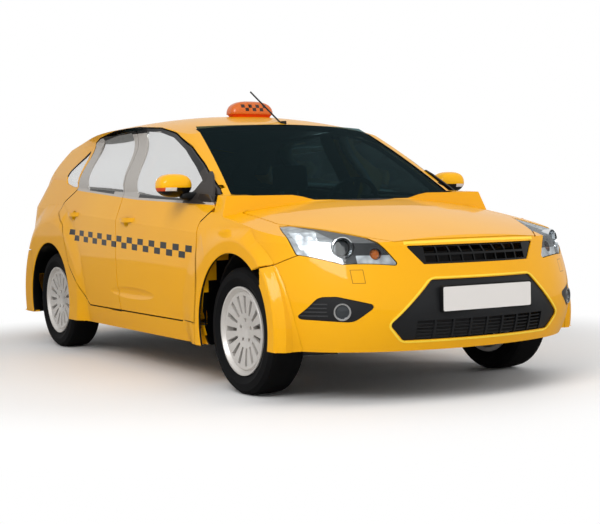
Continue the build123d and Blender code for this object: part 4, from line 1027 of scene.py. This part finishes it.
class TAXI_OT_rear_seats(bpy.types.Operator):
    """Padded rear bench: cushion and back with sewn channels"""

    bl_idname = "taxi.rear_seats"
    bl_label = "Rear seat"

    def execute(self, context):
        # Columns: name, centre Y and Z, lean, half size, channels
        for name, y, z, lean, half, channels in (
            ("bench_cushion", 0.790, 0.352, 2.0, (0.605, 0.225, 0.084), (-0.36, -0.08, 0.08, 0.36)),
            ("bench_back", 1.060, 0.690, 73.5, (0.605, 0.285, 0.062), (-0.40, 0.0, 0.40)),
        ):
            pad(name, (0, y, z), lean, half, channels, 0.10, "rear_seat")
        return {"FINISHED"}


class TAXI_OT_stage(bpy.types.Operator):
    """Plain pale floor, soft studio lamps and the camera at the photograph's angle"""

    bl_idname = "taxi.stage"
    bl_label = "Stage"

    def execute(self, context):
        self.floor(context)
        self.light(context)
        self.camera(context)
        context.scene.view_settings.view_transform = "Standard"
        return {"FINISHED"}

    def floor(self, context):
        """Matt floor that keeps the shadow and fades to white for the camera; greyer in reflections."""
        material, tree = new_material("matt_white_vinyl_floor")
        away = add_node(tree, "VectorMath", {"Vector": object_place(tree)}, operation="LENGTH")
        limits = {"From Min": 2.1, "From Max": 3.4}
        fade = add_node(
            tree, "MapRange", {"Value": away.outputs["Value"], **limits}, interpolation_type="SMOOTHSTEP")
        rays = add_node(tree, "LightPath").outputs
        shade = Signal(tree, rays["Is Glossy Ray"]).mix("#f6f6f6", "#8c8a86")
        matt = add_node(tree, "BsdfPrincipled", {"Base Color": shade, "Roughness": 0.6})
        white = add_node(tree, "Emission", {"Color": "#ffffff", "Strength": 1.0})
        share = Signal(tree, fade.outputs[0]) * rays["Is Camera Ray"]
        mixed = add_node(tree, "MixShader", {0: share, 1: matt.outputs[0], 2: white.outputs[0]})
        add_node(tree, "OutputMaterial", {"Surface": mixed.outputs[0]})
        size = 30.0
        corners = [(-size, -size, 0), (size, -size, 0), (size, size, 0), (-size, size, 0)]
        data = bpy.data.meshes.new("studio_floor")
        data.from_pydata(corners, [], [(0, 1, 2, 3)])
        data.materials.append(material)
        piece = bpy.data.objects.new("studio_floor", data)
        context.scene.collection.objects.link(piece)

    def light(self, context):
        """White surroundings that light at 0.4 of how they show, and three soft lamps."""
        world = bpy.data.worlds.new("soft_studio")
        context.scene.world = world
        world.use_nodes = True
        tree = world.node_tree
        tree.nodes.clear()
        rays = add_node(tree, "LightPath").outputs
        seen = Signal(tree, rays["Is Glossy Ray"]) * 0.8
        seen = seen.most(rays["Is Camera Ray"]).most(rays["Is Transmission Ray"])
        strength = add_node(tree, "MapRange", {"Value": seen, "To Min": 0.40, "To Max": 1.0})
        sky = add_node(tree, "Background", {"Color": "#ffffff", "Strength": strength.outputs[0]})
        add_node(tree, "OutputWorld", {"Surface": sky.outputs[0]})
        # Columns: name, place, aim, width, height, watts
        for name, place, aim, wide, high, watts in (
            ("key_lamp", (-5.5, -4.5, 5.0), (0, -0.6, 0.6), 4.0, 3.0, 300.0),
            ("top_lamp", (-0.5, -3.4, 5.6), (0, -0.8, 0.6), 6.0, 2.5, 110.0),
            ("fill_lamp", (5.5, -5.0, 3.0), (0, -0.6, 0.6), 3.0, 3.0, 120.0),
        ):
            light = bpy.data.lights.new(name, "AREA")
            light.shape = "RECTANGLE"
            light.size, light.size_y, light.energy = wide, high, watts
            lamp = bpy.data.objects.new(name, light)
            lamp.location = place
            lamp.rotation_mode = "QUATERNION"
            lamp.rotation_quaternion = (Vector(aim) - Vector(place)).to_track_quat("-Z", "Y")
            lamp.visible_glossy = name == "key_lamp"  # one highlight is enough on glass and paint
            context.scene.collection.objects.link(lamp)

    def camera(self, context):
        """The camera where the photograph's was."""
        camera = bpy.data.cameras.new("photo_camera")
        camera.sensor_width = SENSOR_MM
        camera.lens = FOCAL_PIXELS / PHOTO_WIDTH * SENSOR_MM
        holder = bpy.data.objects.new("photo_camera", camera)
        context.scene.collection.objects.link(holder)
        turn, tilt, roll = (math.radians(a) for a in (CAMERA_TURN, CAMERA_TILT, CAMERA_ROLL))
        back = Vector((math.sin(turn) * math.cos(tilt), -math.cos(turn) * math.cos(tilt), math.sin(tilt)))
        level = Vector((math.cos(turn), math.sin(turn), 0))
        right = level * math.cos(roll) + back.cross(level) * math.sin(roll)
        facing = Matrix((right, back.cross(right), back)).transposed().to_4x4()
        holder.matrix_world = Matrix.Translation(CAMERA_PLACE) @ facing
        context.scene.camera = holder


class TAXI_PT_sidebar(bpy.types.Panel):
    """Lists the cab's operators and settings"""

    bl_label = "Taxi Cab"
    bl_idname = "TAXI_PT_sidebar"
    bl_space_type = "VIEW_3D"
    bl_region_type = "UI"
    bl_category = "Taxi Cab"

    def draw(self, context):
        for cls in OPERATORS:
            self.layout.operator(cls.bl_idname)
        for group in (context.scene.taxi_paint, context.scene.taxi_trim):
            for name in group.__annotations__:
                self.layout.prop(group, name)


OPERATORS = (
    TAXI_OT_finishes,
    TAXI_OT_plates,
    TAXI_OT_front_trim,
    TAXI_OT_headlamp_parts,
    TAXI_OT_fog_lamp_parts,
    TAXI_OT_arches,
    TAXI_OT_mirrors,
    TAXI_OT_sails,
    TAXI_OT_roof_sign,
    TAXI_OT_front_seats,
    TAXI_OT_rear_seats,
    TAXI_OT_stage,
)
CLASSES = (TaxiPaintSettings, TaxiTrimSettings) + OPERATORS + (TAXI_PT_sidebar,)


def register():
    for cls in CLASSES:
        bpy.utils.register_class(cls)
    bpy.types.Scene.taxi_paint = bpy.props.PointerProperty(type=TaxiPaintSettings)
    bpy.types.Scene.taxi_trim = bpy.props.PointerProperty(type=TaxiTrimSettings)


def unregister():
    del bpy.types.Scene.taxi_trim
    del bpy.types.Scene.taxi_paint
    for cls in reversed(CLASSES):
        bpy.utils.unregister_class(cls)


def main():
    register()
    bpy.ops.taxi.finishes()
    bpy.ops.taxi.plates()
    bpy.ops.taxi.front_trim()
    bpy.ops.taxi.headlamp_parts()
    bpy.ops.taxi.fog_lamp_parts()
    bpy.ops.taxi.arches()
    bpy.ops.taxi.mirrors()
    bpy.ops.taxi.sails()
    bpy.ops.taxi.roof_sign()
    bpy.ops.taxi.front_seats()
    bpy.ops.taxi.rear_seats()
    bpy.ops.taxi.stage()


if __name__ == "__main__":
    main()
